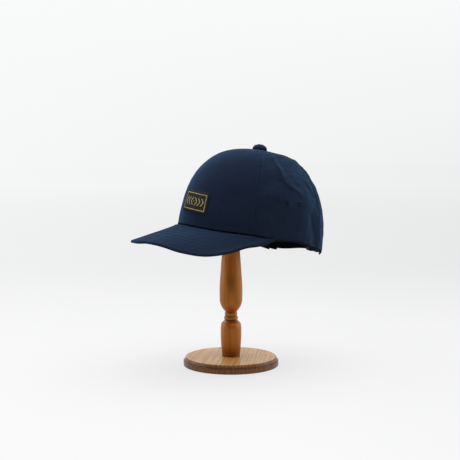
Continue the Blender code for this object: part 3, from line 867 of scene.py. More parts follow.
def piece(name, points, faces, material, cloth=None, crease=35.0):
    """A mesh object on the part's only body. Cloth holds each point's place on the flat cloth."""
    mesh = bpy.data.meshes.new(name)
    mesh.from_pydata(np.asarray(points).reshape(-1, 3).tolist(), [], faces)
    if cloth is not None:
        corner = np.zeros(len(mesh.loops), np.int32)
        mesh.loops.foreach_get("vertex_index", corner)
        layer = mesh.uv_layers.new(name="Cloth")
        layer.data.foreach_set("uv", np.asarray(cloth, float).reshape(-1, 2)[corner].ravel())
    bm = bmesh.new()
    bm.from_mesh(mesh)
    bmesh.ops.recalc_face_normals(bm, faces=bm.faces)
    bm.to_mesh(mesh)
    bm.free()
    mesh.shade_smooth()
    mesh.set_sharp_from_angle(angle=math.radians(crease))
    mesh.materials.append(material)
    obj = new_object(name, mesh)
    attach(obj, "root")
    return obj


def apply_modifiers(obj):
    bpy.context.view_layer.update()
    graph = bpy.context.evaluated_depsgraph_get()
    made = bpy.data.meshes.new_from_object(obj.evaluated_get(graph))
    obj.modifiers.clear()
    obj.data = made


def rolled_sheet(name, rows, cloth, material, crease=60.0):
    """A closed sheet from rows that run down one face, round an edge and up the other.

    There is an even number of rows, and each row pairs with its mirror row to close the ends.
    """
    count, columns = rows.shape[:2]
    faces = grid_faces(count, columns, ring_rows=True)
    for c in (0, columns - 1):
        for r in range(count // 2 - 1):
            a, b = r * columns + c, (r + 1) * columns + c
            d, e = (count - 1 - r) * columns + c, (count - 2 - r) * columns + c
            faces.append([a, b, e, d])
    return piece(name, rows, faces, material, cloth, crease)


def cloth_place(points):
    """Distances along and across a grid of points, from its middle column and its first row."""
    up = np.linalg.norm(np.diff(points, axis=0), axis=-1)
    along = np.concatenate([np.zeros((1, points.shape[1])), np.cumsum(up, 0)])
    side = np.linalg.norm(np.diff(points, axis=1), axis=-1)
    across = np.concatenate([np.zeros((points.shape[0], 1)), np.cumsum(side, 1)], axis=1)
    return np.stack([across - across[:, -1:] / 2, along], -1)


def area_of(points):
    a, b = points[1:, 1:] - points[:-1, :-1], points[1:, :-1] - points[:-1, 1:]
    return float(np.linalg.norm(np.cross(a, b), axis=-1).sum() / 2)


def declare_sheet(points):
    """Works out a sheet's flat cut, measured on the grid of its outer face, but keeps nothing of it."""
    lengths = np.linalg.norm(np.diff(points, axis=0), axis=-1).sum(0)
    widths = np.linalg.norm(np.diff(points, axis=1), axis=-1).sum(1)
    flat = (float(widths.max()), float(lengths.max()))
    area = min(area_of(points), flat[0] * flat[1])


def resample(rows, pitch):
    """Points and normals of a line, moved to equal steps of about a pitch."""
    steps = np.linalg.norm(np.diff(rows[0], axis=0), axis=-1)
    run = np.concatenate([[0], np.cumsum(steps)])
    places = np.linspace(0, run[-1], max(2, int(run[-1] / pitch) + 1))
    return [np.stack([np.interp(places, run, row[:, i]) for i in range(3)], -1) for row in rows]


def unit(vectors):
    return vectors / (np.linalg.norm(vectors, axis=-1, keepdims=True) + 1e-12)


def stitching(name, rows, settings, material):
    """Rows of raised stitches. Each row is a line of points and their outward normals."""
    radius = settings.thread_radius
    size = len(STITCH_RINGS) * STITCH_SIDES
    turns = np.linspace(0, math.tau, STITCH_SIDES, endpoint=False)[None, :, None]
    one = np.array(grid_faces(len(STITCH_RINGS), STITCH_SIDES, ring_columns=True))
    caps = [list(range(STITCH_SIDES)), list(range(size - 1, size - 1 - STITCH_SIDES, -1))]
    u, v = np.meshgrid(np.linspace(0, 1, STITCH_SIDES), [ring.share * 3 for ring in STITCH_RINGS])
    one_cloth = np.stack([u, v], -1).reshape(-1, 2)
    all_points, all_faces, all_cloth, start = [], [], [], 0
    for row in rows:
        points, normals = resample(row, settings.stitch)
        begin, run = points[:-1], np.diff(points, axis=0) * (1 - STITCH_GAP)
        out = unit(normals[:-1] + normals[1:])
        aside = unit(np.cross(run, out))
        round_it = np.cos(turns) * aside[:, None] + np.sin(turns) * out[:, None]
        rings = []
        for ring in STITCH_RINGS:
            centre = begin + run * ring.share + out * (ring.lift * radius)
            rings.append(centre[:, None] + radius * ring.thickness * round_it)
        count = len(begin)
        starts = start + np.arange(count) * size
        all_faces += (one[None] + starts[:, None, None]).reshape(-1, 4).tolist()
        all_faces += [[int(first) + k for k in cap] for first in starts for cap in caps]
        all_points.append(np.stack(rings, 1).reshape(-1, 3))
        all_cloth.append(np.tile(one_cloth, (count, 1)))
        start += count * size
    return piece(name, np.concatenate(all_points), all_faces, material, np.concatenate(all_cloth))


def lathe(radius, height, ends, sides):
    """Points and faces of a solid turned about Z, with rings of points and an end point on each end."""
    turns = np.linspace(0, math.tau, sides, endpoint=False)
    points = np.stack([radius * np.cos(turns), radius * np.sin(turns), height + 0 * turns], -1)
    rings = len(points)
    faces = grid_faces(rings, sides, ring_columns=True)
    last, top = rings * sides, (rings - 1) * sides
    for k in range(sides):
        after = (k + 1) % sides
        faces += [[last, after, k], [last + 1, top + k, top + after]]
    return np.vstack([points.reshape(-1, 3), [(0, 0, end) for end in ends]]), faces


def turned(name, outline, sides, material, slot):
    """A turned solid from (radius, height) points whose ends lie on the axis."""
    middle = np.array(outline[1:-1])
    ends = (outline[0][1], outline[-1][1])
    points, faces = lathe(middle[:, :1], middle[:, 1:], ends, sides)
    return piece(name, points, faces, material)


def arc(centre, radii, start, end, steps):
    """Points of an ellipse's arc between two angles."""
    turns = np.radians(np.linspace(start, end, steps))
    return [(centre[0] + radii[0] * math.cos(t), centre[1] + radii[1] * math.sin(t)) for t in turns]


# The cap's pieces


def arch_lift(angle):
    """Height of the rear arch above the crown's edge."""
    share = np.clip((180 - np.abs(angle)) / ARCH_ANGLE, 0, 1)
    return ARCH_HEIGHT * np.sqrt(1 - share**2)


def top_level(angle):
    """The level at which the panels end, under the button."""
    share = CROWN_HOLE_RADIUS / (HEAD_WIDTH / 2)
    return 2 / np.pi * np.arccos(share ** (exponents(angle)[0] / 2))


def hem_lift(angle):
    """Height of the dark crease that the crown leaves above the visor."""
    inside = np.clip((VISOR_END_ANGLE - np.abs(angle)) / CREASE_FADE_ANGLE, 0, 1)
    return CREASE_HEIGHT * inside**2 * (3 - 2 * inside)


def panel_grid(angles, rows):
    """Angles and levels of a panel's points between its two seams."""
    angles = np.asarray(angles, float)
    start = level_at(angles, arch_lift(angles) + hem_lift(angles))
    shares = np.linspace(0, 1, rows)[:, None] ** 0.94
    levels = start + (top_level(angles) - start) * shares
    return np.broadcast_to(angles, levels.shape), levels


def seam_shares(count):
    """Shares across a panel, closer together near its seams."""
    share = np.linspace(0, 1, count)
    return share - 0.11 * np.sin(share * math.tau)


def crown_sheet(name, node, first, last, columns, material):
    """A panel of the crown with a rolled hem. Returns it and the points of its outer face."""
    share = seam_shares(columns)
    if abs(last) == 180.0:
        arch = 1 - ARCH_ANGLE / abs(last - first)
        bunch = np.clip((share - arch) / (1 - arch), 0, 1)
        share = np.where(share > arch, arch + (1 - arch) * (1 - np.cos(bunch * np.pi / 2)), share)
    angles, levels = panel_grid(first + (last - first) * share, PANEL_ROWS)
    outer = crown_cloth(angles, levels)
    inner = crown_cloth(angles, levels, CLOTH)
    tangent = unit(outer[0] - outer[1])
    middle, half = (outer[0] + inner[0]) / 2, (outer[0] - inner[0]) / 2
    turns = np.radians(np.linspace(0, 180, 8)[1:-1])[:, None, None]
    roll = middle + half * np.cos(turns) + tangent * (CLOTH / 2) * np.sin(turns)
    place = cloth_place(outer)
    cloth = np.concatenate([place[::-1], np.repeat(place[:1], len(roll), axis=0), place])
    obj = rolled_sheet(name, placed(np.concatenate([outer[::-1], roll, inner])), cloth, material)
    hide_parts(node)
    return obj, placed(outer)


def eyelet_matrix(angle):
    level = level_at(angle, EYELET_HEIGHT)
    point = Vector(placed(crown_cloth(angle, level)).tolist())
    outward = Vector((CAP_TURN @ crown_normal(angle, level)).tolist())
    return Matrix.Translation(point) @ outward.to_track_quat("Z", "Y").to_matrix().to_4x4()


def punch_holes(panel, angles):
    """Cuts the eyelets' holes through a panel."""
    bm = bmesh.new()
    size = {"radius1": EYELET_CUT_RADIUS, "radius2": EYELET_CUT_RADIUS, "depth": EYELET_CUT_DEPTH}
    for angle in angles:
        bmesh.ops.create_cone(bm, cap_ends=True, segments=32, matrix=eyelet_matrix(angle), **size)
    mesh = bpy.data.meshes.new("hole_cutter")
    bm.to_mesh(mesh)
    bm.free()
    cutter = new_object("hole_cutter", mesh)
    cut = panel.modifiers.new("Holes", "BOOLEAN")
    cut.operation = "DIFFERENCE"
    cut.solver = "EXACT"
    cut.object = cutter
    apply_modifiers(panel)
    bpy.data.objects.remove(cutter, do_unlink=True)


def visor_seam(share, tuck=0.0):
    """Points along the visor's inner edge. A tuck takes them in under the crown's raised hem."""
    angle = VISOR_END_ANGLE * np.sin(share * np.pi / 2)
    depth = tuck * hem_lift(angle) / CREASE_HEIGHT - VISOR_OVERLAP
    return crown_cloth(angle, np.zeros_like(angle), depth, plain=True)


def visor_rim(share):
    """Points along the visor's outer edge, at shares from -1 to 1 of the way round it."""
    turn = share * np.pi / 2
    across, forward = np.abs(np.sin(turn)), np.cos(turn)
    end = visor_seam(np.array([1.0]))[0]
    narrowing = (end[0] + VISOR_END_WIDTH - VISOR_HALF_WIDTH) * across**VISOR_CORNER_POWER
    x = VISOR_HALF_WIDTH * across + narrowing
    y = -end[1] + (HEAD_LENGTH / 2 + VISOR_LENGTH + end[1]) * forward
    left = smooth_curve(np.abs(share), [(row.share, row.left) for row in DROOPS])
    right = smooth_curve(np.abs(share), [(row.share, row.right) for row in DROOPS])
    z = end[2] - VISOR_LENGTH * np.where(share > 0, left, right)
    return np.stack([np.sign(share) * x, -y, z], -1)


def visor_top(share, step, plain=False):
    """Points of the visor's upper cloth at shares along it and steps from seam to rim."""
    share, step = np.broadcast_arrays(np.asarray(share, float), np.asarray(step, float))
    flat_share = share.reshape(-1)
    seam, rim = visor_seam(flat_share), visor_rim(flat_share)
    points = (seam + (rim - seam) * step.reshape(-1, 1)).reshape(*share.shape, 3)
    if plain:
        return points
    width = np.linalg.norm(rim - seam, axis=-1).reshape(share.shape)
    lift = lines_height(width * step, VISOR_SEAM_LINES)
    for row in VISOR_ROWS:
        lift = lift - VISOR_ROW_DEPTH * bell((step - row) * width, VISOR_ROW_WIDTH)
    lift = lift + rippled(points[..., :2], VISOR_RIPPLE)
    points[..., 2] += lift * np.clip(width / 0.02, 0, 1)
    return points


def visor_sheet(material):
    """The visor's cover: its upper face, its rolled rim, its underside and the tucked edge."""
    columns, rows = 181, 130
    share = np.linspace(-1, 1, columns)
    seam, rim = visor_seam(share), visor_rim(share)
    width = np.linalg.norm(rim - seam, axis=-1)[:, None]
    outward = (rim - seam) / width
    inset = np.minimum(VISOR_THICKNESS / 2, width * 0.4)
    steps = np.linspace(0, 1, rows)[:, None] ** 1.3 * (1 - inset[:, 0] / width[:, 0])
    top = visor_top(share, steps)
    thickness = np.array([0, 0, VISOR_THICKNESS])
    centre = top[-1] - thickness / 2
    roll = []
    for turn in np.radians(np.linspace(90, -90, 14)[1:-1]):
        pinch = 1 - 0.10 * math.exp(-((math.degrees(turn) + 25) / 9) ** 2)
        roll.append(centre + outward * inset * math.cos(turn) * pinch + thickness / 2 * math.sin(turn))
    bottom = visor_top(share, steps, plain=True) - thickness
    bottom[-1] = top[-1] - thickness
    under = visor_seam(share, VISOR_TUCK)[None]
    groove = np.array([0, 0, VISOR_GROOVE_DEPTH])
    loop = np.concatenate([under - groove, top, roll, bottom[::-1], under - thickness])
    obj = rolled_sheet("visor_cloth", placed(loop), loop[..., :2], material)
    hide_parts("visor")
    return obj


def visor_rows():
    rows = []
    share = np.linspace(-0.972, 0.972, 240)
    for step in VISOR_ROWS:
        points = placed(visor_top(share, np.full_like(share, step)))
        near = placed(visor_top(share, np.full_like(share, step + 0.02)))
        normal = np.cross(np.gradient(points, axis=0), near - points)
        rows.append((points, unit(normal * np.sign(normal[:, 2:]))))
    return rows


def seam_row(seam, offset, side, first=0.012, last=0.985):
    """A line of stitches beside a seam, at a distance along the cloth."""
    level = np.linspace(first, last, 260)
    arm = HEAD_WIDTH / 2 * reach(seam, level)
    angle = side * (seam + np.degrees(offset / arm))
    keep = arm > 0.012
    return crown_line(angle[keep], level[keep])


def hem_row(start, end, height):
    """A line of stitches at a height above the hem."""
    angle = np.linspace(start, end, 400)
    return crown_line(angle, level_at(angle, height + arch_lift(angle)))


def tape(name, node, tape_size, material):
    """A flat tape inside the crown. Its lower edge hangs a drop below its place on the cloth."""
    angles, low, width, thickness, drop, rows = tape_size
    share = np.linspace(0, 1, rows)[:, None]
    levels = level_at(angles, low + width * share)
    hang = drop * (1 - share)
    outer = crown_cloth(angles, levels, CLOTH + SEAT, hang, plain=True)
    inner = crown_cloth(angles, levels, CLOTH + SEAT + thickness, hang, plain=True)
    edge = np.array([0.18, 0.82])[:, None, None]
    down = unit(outer[0] - outer[1]) * thickness * 0.35
    bottom = outer[0] + (inner[0] - outer[0]) * edge + down
    top = outer[-1] + (inner[-1] - outer[-1]) * edge - down
    loop = np.concatenate([top[:1], outer[::-1], bottom, inner, top[1:]])
    place = cloth_place(outer)
    cloth = np.concatenate([place[-1:], place[::-1], place[:1], place[:1], place, place[-1:]])
    obj = rolled_sheet(name, placed(loop), cloth, material)
    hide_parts(node)
    return obj, placed(outer)


def button(material):
    """A cloth-covered dome with faint gathers and a tight crease round its seat."""
    sides = 96
    outline = [
        (BUTTON_SHANK_RADIUS, -BUTTON_SHANK_DEPTH),
        (BUTTON_SHANK_RADIUS + 0.0001, 0.0004),
        (0.0052, 0.00045),
        (BUTTON_RADIUS * 0.86, 0.0005),
    ]
    outline += arc((BUTTON_RADIUS * 0.90, SEAT + BUTTON_LIP), (BUTTON_RADIUS * 0.10, BUTTON_LIP), -70, 20, 9)
    outline += arc((0, SEAT + BUTTON_LIP), (BUTTON_RADIUS, BUTTON_HEIGHT - BUTTON_LIP), 12, 87, 22)
    radius, height = np.array(outline).T[..., None]
    turns = np.linspace(0, math.tau, sides, endpoint=False)
    gathers = 0.012 * np.sin(turns * 8 + 0.6) * bell(height - SEAT - BUTTON_LIP, BUTTON_LIP * 1.6)
    radius = radius * (1 + gathers)
    flat = np.stack([radius * np.cos(turns), radius * np.sin(turns)], -1)
    ends = (-BUTTON_SHANK_DEPTH, SEAT + BUTTON_HEIGHT)
    points, faces = lathe(radius, height + rippled(flat, BUTTON_RIPPLE), ends, sides)
    top = placed(points + np.array([0, -CROWN_TOP_FORWARD, CROWN_HEIGHT]))
    obj = piece("button_cloth", top, faces, material, points[:, :2])
    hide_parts("top_button")
    return obj


def label_height(angle, up):
    """Height above the crown's edge of a point of the label, which slopes with the front."""
    slope = HEAD_WIDTH / 2 * np.sin(np.radians(angle)) * math.tan(math.radians(LABEL_TILT))
    return LABEL_CENTRE_HEIGHT + up - slope - edge_height(angle)


def label(material):
    """The label's cloth, thinner towards its edge. Returns it and the points of its outer face."""
    angle = np.linspace(-LABEL_HALF_ANGLE, LABEL_HALF_ANGLE, 97)
    share = np.linspace(-0.5, 0.5, 57)[:, None]
    levels = level_at(angle, label_height(angle, LABEL_HEIGHT * share))
    across = angle / LABEL_HALF_ANGLE * LABEL_WIDTH / 2
    flat = np.stack([across + 0 * share, share * LABEL_HEIGHT + 0 * angle], -1)
    edge = np.minimum(LABEL_WIDTH / 2 - np.abs(flat[..., 0]), LABEL_HEIGHT / 2 - np.abs(flat[..., 1]))
    thick = LABEL_THICKNESS * (1 - 0.6 * np.exp(-edge / 0.0004)) + rippled(flat, LABEL_RIPPLE)
    outer = crown_cloth(angle, levels, -LABEL_GAP - thick, plain=True)
    inner = crown_cloth(angle, levels, -LABEL_GAP, plain=True)
    loop = np.concatenate([outer[::-1], inner])
    obj = rolled_sheet("label_cloth", placed(loop), np.concatenate([flat[::-1], flat]), material)
    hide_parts("front_label")
    return obj, placed(outer)


def label_rows():
    """The label's four lines of stitches."""
    end = LABEL_HALF_ANGLE * (1 - LABEL_STITCH_INSET / (LABEL_WIDTH / 2))
    top = LABEL_HEIGHT / 2 - LABEL_STITCH_INSET
    across, up = np.linspace(-end, end, 60), np.linspace(-top, top, 40)
    sides = [
        (across, np.full_like(across, -top)),
        (np.full_like(up, end), up),
        (across[::-1], np.full_like(across, top)),
        (np.full_like(up, -end), up[::-1]),
    ]
    rows = []
    for angle, height in sides:
        level = level_at(angle, label_height(angle, height))
        rows.append(crown_line(angle, level, -LABEL_GAP - LABEL_THICKNESS, plain=True))
    return rows


def eyelet(name, angle, material):
    """Buttonhole stitches wound round a hole."""
    around, section = 144, 14
    middle = (EYELET_RADIUS + EYELET_HOLE_RADIUS) / 2
    half = (EYELET_RADIUS - EYELET_HOLE_RADIUS) / 2
    turns = np.linspace(0, math.tau, around, endpoint=False)
    ring = np.linspace(0, math.tau, section, endpoint=False)[:, None]
    swell = 1 + 0.10 * np.abs(np.sin(turns * EYELET_WRAPS / 2)) - 0.05
    radius = middle + half * np.cos(ring) * swell
    height = EYELET_RISE * np.sin(ring) * swell * np.where(np.sin(ring) < 0, 2.2, 1.0)
    points = np.stack([radius * np.cos(turns), radius * np.sin(turns), height + 0.0001], -1)
    faces = grid_faces(section, around, ring_rows=True, ring_columns=True)
    u = np.broadcast_to(turns / math.tau * EYELET_WRAPS, radius.shape)
    v = np.broadcast_to(ring / math.tau * 0.4, radius.shape)
    matrix = np.array(eyelet_matrix(angle))
    points = points.reshape(-1, 3) @ matrix[:3, :3].T + matrix[:3, 3]
    return piece(name, points, faces, material, np.stack([u, v], -1))


def softened(node, name, width, material):
    """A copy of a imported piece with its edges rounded."""
    obj = new_object(name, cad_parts[node].data.copy())
    obj.data.materials.clear()
    obj.data.materials.append(material)
    bm = bmesh.new()
    bm.from_mesh(obj.data)
    bmesh.ops.remove_doubles(bm, verts=bm.verts, dist=1e-6)
    bmesh.ops.dissolve_limit(bm, angle_limit=math.radians(4), verts=bm.verts, edges=bm.edges)
    bm.to_mesh(obj.data)
    bm.free()
    bevel = obj.modifiers.new("Rounded edges", "BEVEL")
    bevel.width = width
    bevel.segments = 3
    bevel.limit_method = "ANGLE"
    bevel.angle_limit = math.radians(40)
    apply_modifiers(obj)
    obj.data.shade_smooth()
    obj.data.set_sharp_from_angle(angle=math.radians(45))
    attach(obj, "root")
    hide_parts(node)
    return obj


def turning(rows, radius, bottom, height, steps):
    """Points of an outline from a table of turnings."""
    shares = np.linspace(0, 1, steps)
    radii = smooth_curve(shares, rows) * radius
    return [(r, bottom + s * height) for r, s in zip(radii, shares)]


def base_outline():
    cove = (BASE_RADIUS - BASE_TOP_RADIUS) * BASE_COVE_SHARE
    edge = BASE_EDGE_RADIUS
    outline = [(0, 0), (BASE_RADIUS - edge, 0)]
    outline += arc((BASE_RADIUS - edge, edge), (edge, edge), -80, 0, 6)
    outline += arc((BASE_RADIUS - edge, BASE_STEP_HEIGHT - edge), (edge, edge), 0, 90, 6)
    outline += [(BASE_TOP_RADIUS + cove + 0.0001, BASE_STEP_HEIGHT)]
    radii = (cove, BASE_THICKNESS - BASE_STEP_HEIGHT)
    outline += arc((BASE_TOP_RADIUS, BASE_STEP_HEIGHT), radii, 2, 90, 18)
    outline += [(BASE_TOP_RADIUS - 0.0015, BASE_THICKNESS), (0.03, BASE_THICKNESS), (0, BASE_THICKNESS)]
    return outline


def post_outline():
    bottom = BASE_THICKNESS + POST_GAP
    outline = [(0, bottom)] + turning(FOOT_TURNINGS, FOOT_RADIUS, bottom, FOOT_HEIGHT, 48)
    height = bottom + FOOT_HEIGHT
    for radius in BEAD_RADII:
        centre = (BEAD_GROOVE_RADIUS, height + BEAD_HEIGHT / 2)
        outline += arc(centre, (radius - BEAD_GROOVE_RADIUS, BEAD_HEIGHT * 0.42), -90, 90, 15)
        height += BEAD_HEIGHT
    outline += turning(VASE_TURNINGS, VASE_RADIUS, height, VASE_HEIGHT, 130)
    return outline + [(0, height + VASE_HEIGHT)]


# Operators


def kept(name, build, *values):
    """The material of a name, built the first time that it is needed."""
    return bpy.data.materials.get(name) or build(name, *values)


def cloth_finish(context):
    settings = context.scene.cap_cloth
    return kept("navy_twill", twill, tuple(settings.navy), settings.weave)


def lit_button_finish(context):
    settings = context.scene.cap_cloth
    # The button's twill is the crown's navy made 1.6 times brighter: painted light on the cap's top.
    return kept("button_twill", twill, shaded(settings.navy, 1.6), settings.weave)


def thread_finish(context):
    return kept("navy_thread", sewing_thread, tuple(context.scene.cap_cloth.thread))


class CAP_OT_crown(Operator):
    """Sews the five panels of the crown and punches the eyelets' holes"""

    bl_idname = "cap.crown"
    bl_label = "Crown panels"

    def execute(self, context):
        cloth = cloth_finish(context)
        self.panel("front_cloth", "crown_front_panel", -FRONT_SEAM_ANGLE, FRONT_SEAM_ANGLE, 150, cloth)
        for name, side in SIDES.items():
            front, rear = side * FRONT_SEAM_ANGLE, side * REAR_SEAM_ANGLE
            sheet = self.panel(f"side_{name}_cloth", f"crown_side_panel_{name}", front, rear, 110, cloth)
            punch_holes(sheet, [side * angle for angle in EYELET_ANGLES.values()])
            self.panel(f"back_{name}_cloth", f"crown_back_panel_{name}", rear, side * 180.0, 100, cloth)
        return {"FINISHED"}

    def panel(self, name, node, first, last, columns, material):
        """Sews one panel from its first seam's angle to its last one's."""
        sheet, outer = crown_sheet(name, node, first, last, columns, material)
        declare_sheet(outer)
        return sheet


class CAP_OT_stitches(Operator):
    """Adds the raised stitches of the crown's seams, hem and rear arch"""

    bl_idname = "cap.stitches"
    bl_label = "Crown stitches"

    def execute(self, context):
        rows = []
        start, end = HEM_STITCH_ANGLES
        for side in SIDES.values():
            rows.append(seam_row(FRONT_SEAM_ANGLE, -TOPSTITCH_OFFSET, side))
            rows.append(seam_row(REAR_SEAM_ANGLE, -TOPSTITCH_OFFSET, side))
            rows.append(seam_row(REAR_SEAM_ANGLE, TOPSTITCH_OFFSET, side))
            rows.append(seam_row(180.0, -TOPSTITCH_OFFSET, side, ARCH_SEAM_LEVEL))
            rows.append(hem_row(side * start, side * end, HEM_STITCH_HEIGHT))
        stitching("crown_stitches", rows, context.scene.cap_cloth, thread_finish(context))
        return {"FINISHED"}


class CAP_OT_visor(Operator):
    """Covers the visor's board and stitches it"""

    bl_idname = "cap.visor"
    bl_label = "Visor"

    def execute(self, context):
        visor_sheet(cloth_finish(context))
        stitching("visor_stitches", visor_rows(), context.scene.cap_cloth, thread_finish(context))
        return {"FINISHED"}


class CAP_OT_trim(Operator):
    """Adds the button, the sweatband, the eyelets, the strap and its slider"""

    bl_idname = "cap.trim"
    bl_label = "Trim"

    def execute(self, context):
        settings = context.scene.cap_cloth
        cloth, thread = cloth_finish(context), thread_finish(context)
        lining = band_cloth("dark_lining", tuple(settings.lining))
        button(lit_button_finish(context))
        for name, side in SIDES.items():
            for place, angle in EYELET_ANGLES.items():
                ring = eyelet(f"stitched_eyelet_{name}_{place}", side * angle, thread)
                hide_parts(f"eyelet_{name}_{place}")
        angles = np.linspace(-BAND_END_ANGLE, BAND_END_ANGLE, 321)
        size = Tape(angles, 0.0, BAND_WIDTH, BAND_THICKNESS, BAND_DROP, 15)
        band, outer = tape("sweatband_cloth", "sweatband", size, lining)
        declare_sheet(outer)
        angles = np.linspace(180 - STRAP_HALF_ANGLE, 180 + STRAP_HALF_ANGLE, 121)
        size = Tape(angles, STRAP_ABOVE_EDGE, STRAP_WIDTH, STRAP_THICKNESS, 0.0, 11)
        strap, outer = tape("strap_cloth", "back_strap", size, cloth)
        declare_sheet(outer)
        metal = dark_metal("dark_metal", tuple(settings.metal))
        softened("strap_slider", "slider_metal", SLIDER_EDGE_RADIUS, metal)
        return {"FINISHED"}


class CAP_OT_label(Operator):
    """Sews the woven label on the front panel"""

    bl_idname = "cap.label"
    bl_label = "Label"

    def execute(self, context):
        settings = context.scene.cap_label
        material = woven_label("woven_label", tuple(settings.ground), tuple(settings.gold))
        sheet, outer = label(material)
        thread = sewing_thread("label_thread", tuple(settings.ground))
        rows = stitching("label_stitches", label_rows(), context.scene.cap_cloth, thread)
        declare_sheet(outer)
        return {"FINISHED"}


class CAP_OT_stand(Operator):
    """Turns the wooden stand"""

    bl_idname = "cap.stand"
    bl_label = "Stand"

    def execute(self, context):
        settings = context.scene.cap_wood
        grain = math.radians(VIEW_AZIMUTH + BASE_GRAIN_ANGLE)
        along = (math.cos(grain), math.sin(grain), 0)
        # Heights of rings of painted shade: the base's step and the post's bead grooves.
        steps = [BASE_STEP_HEIGHT]
        pale = turned_wood("base_wood", tuple(settings.base), along, 0.7, BASE_VARNISH, BASE_PAINTED_SHADE, steps)
        beads = BASE_THICKNESS + POST_GAP + FOOT_HEIGHT
        painted_shade_rings = [beads + count * BEAD_HEIGHT for count in range(len(BEAD_RADII) + 1)]
        # The middle of the post's painted shade, on its side towards the camera.
        camera_side_shade = (-VASE_RADIUS * VIEW_AHEAD[0], -VASE_RADIUS * VIEW_AHEAD[1], CAMERA_SIDE_SHADE_HEIGHT)
        post = tuple(settings.post)
        brown = turned_wood("post_wood", post, (0, 0, 1), 0.65, POST_VARNISH, POST_DARK_FOOT, painted_shade_rings, camera_side_shade)
        base = turned("base_turning", base_outline(), 192, pale, "base_wood")
        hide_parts("stand_base")
        post = turned("post_turning", post_outline(), 128, brown, "post_wood")
        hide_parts("stand_post")
        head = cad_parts["stand_head"]
        head.data.materials.clear()
        head.data.materials.append(brown)
        return {"FINISHED"}


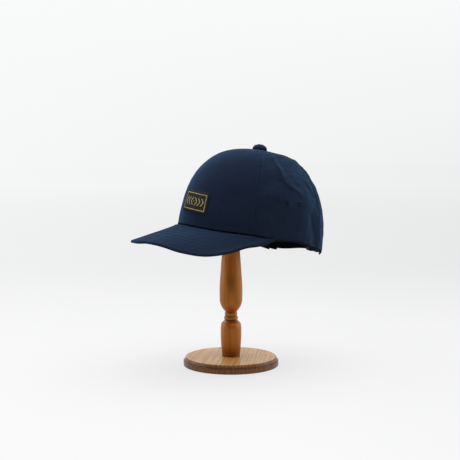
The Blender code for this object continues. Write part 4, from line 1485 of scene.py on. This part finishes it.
class CAP_OT_studio(Operator):
    """Sets the floor, the soft light and the camera"""

    bl_idname = "cap.studio"
    bl_label = "Studio"

    def execute(self, context):
        settings = context.scene.cap_studio
        scene = context.scene
        scene.view_settings.view_transform = "Standard"
        self.floor(settings)
        self.world(scene, settings)
        self.camera(scene)
        return {"FINISHED"}

    def backdrop(self, finish, settings, aside, ahead, slant):
        """The background's colour, darker towards the right of the picture by a slant."""
        level = finish.clamp(0.99 - aside / ahead * slant, 0.95, 1.03)
        return finish.times(tuple(settings.backdrop), level)

    def floor(self, settings):
        """A plane that takes the object's shadow and fades into the background behind it."""
        mesh = bpy.data.meshes.new("floor")
        half = FLOOR_HALF_WIDTH
        corners = [(-half, -half, 0), (half, -half, 0), (half, half, 0), (-half, half, 0)]
        mesh.from_pydata(corners, [], [(0, 1, 2, 3)])
        finish = Finish("pale_floor", Roughness=0.9, Specular_IOR_Level=0.0)
        place = finish.place()
        ahead = finish.vector("DOT_PRODUCT", place, VIEW_AHEAD)
        aside = finish.vector("DOT_PRODUCT", place, VIEW_RIGHT)
        away = finish.vector("LENGTH", place)
        fade = finish.math("MAXIMUM", finish.step(ahead, -0.15, 1.2), finish.step(away, 0.8, 2.4))
        far = self.backdrop(finish, settings, aside, finish.math("MAXIMUM", ahead + VIEW_DISTANCE, 0.3), 0.15)
        far = finish.times(far, finish.step(away, 1.5, 9.0) * 0.05 + 0.94)
        near = finish.times(FLOOR_GLOW, 1 - finish.step(aside, 0.02, 0.30) * 0.045)
        finish.drive(
            Base_Color=finish.mix(fade, FLOOR_COLOUR, (0, 0, 0)),
            Emission_Color=finish.mix(fade, near, far),
            Emission_Strength=1.0,
        )
        mesh.materials.append(finish.data)
        new_object("floor", mesh)

    def world(self, scene, settings):
        """Soft light from above, behind and both sides. The camera sees the backdrop instead."""
        scene.world = bpy.data.worlds.new("Studio")
        finish = Finish("Studio", world=scene.world)
        direction = finish.node("ShaderNodeTexCoord", output="Generated")
        ahead = finish.vector("DOT_PRODUCT", direction, VIEW_AHEAD)
        aside = finish.vector("DOT_PRODUCT", direction, VIEW_RIGHT)
        up = finish.split(direction)[2]
        light = finish.step(ahead, -0.5, 0.5) * (settings.behind - settings.front) + settings.front
        light = light + finish.step(abs(aside), 0.80, 0.98) * settings.sides
        sky = finish.step(up, 0.40, 0.98) * settings.overhead
        colour = finish.joined(light + sky * 0.78, light + sky, light + sky * 1.2)
        slant = finish.clamp(0.13 - up * 0.75, 0.01, 0.15)
        shown = self.backdrop(finish, settings, aside, finish.math("MAXIMUM", ahead, 0.3), slant)
        shown = finish.times(shown, finish.clamp(up * 0.34 + 1.0, 1.0, 1.06))
        seen = finish.node("ShaderNodeLightPath", output="Is Camera Ray")
        wall = finish.node("ShaderNodeBackground", None, {"Color": shown, "Strength": 1.0})
        lamp = finish.node("ShaderNodeBackground", None, {"Color": colour, "Strength": 1.0})
        both = finish.node("ShaderNodeMixShader", None, {0: seen, 1: lamp, 2: wall})
        finish.feed(finish.tree.nodes["World Output"].inputs["Surface"], both)

    def camera(self, scene):
        lens = bpy.data.cameras.new("photo_view")
        lens.sensor_width = SENSOR
        lens.lens = FOCAL_PIXELS / PICTURE * SENSOR
        camera = new_object("photo_view", lens)
        away = Vector(VIEW_AHEAD) * -VIEW_DISTANCE
        camera.location = Vector(VIEW_RIGHT) * VIEW_ASIDE + away + Vector((0, 0, VIEW_HEIGHT))
        camera.rotation_euler = (math.pi / 2 - math.radians(VIEW_PITCH), 0, TURN)
        scene.camera = camera


class CAP_PT_panel(Panel):
    bl_idname = "CAP_PT_panel"
    bl_label = "Cap"
    bl_space_type = "VIEW_3D"
    bl_region_type = "UI"
    bl_category = "Cap"

    def draw(self, context):
        for name in SETTINGS:
            box = self.layout.box()
            group = getattr(context.scene, name)
            for field in group.bl_rna.properties.keys():
                if field not in ("rna_type", "name"):
                    box.prop(group, field)
        for operator in OPERATORS:
            self.layout.operator(operator.bl_idname)


SETTINGS = {
    "cap_cloth": ClothSettings,
    "cap_label": LabelSettings,
    "cap_wood": WoodSettings,
    "cap_studio": StudioSettings,
}
OPERATORS = [
    CAP_OT_crown,
    CAP_OT_stitches,
    CAP_OT_visor,
    CAP_OT_trim,
    CAP_OT_label,
    CAP_OT_stand,
    CAP_OT_studio,
]


def register():
    for made in (*SETTINGS.values(), *OPERATORS, CAP_PT_panel):
        bpy.utils.register_class(made)
    for name, group in SETTINGS.items():
        setattr(bpy.types.Scene, name, PointerProperty(type=group))


def unregister():
    for name in SETTINGS:
        delattr(bpy.types.Scene, name)
    for made in reversed((*SETTINGS.values(), *OPERATORS, CAP_PT_panel)):
        bpy.utils.unregister_class(made)


def main():
    register()
    for operator in OPERATORS:
        group, name = operator.bl_idname.split(".")
        getattr(getattr(bpy.ops, group), name)()


if __name__ == "__main__":
    main()
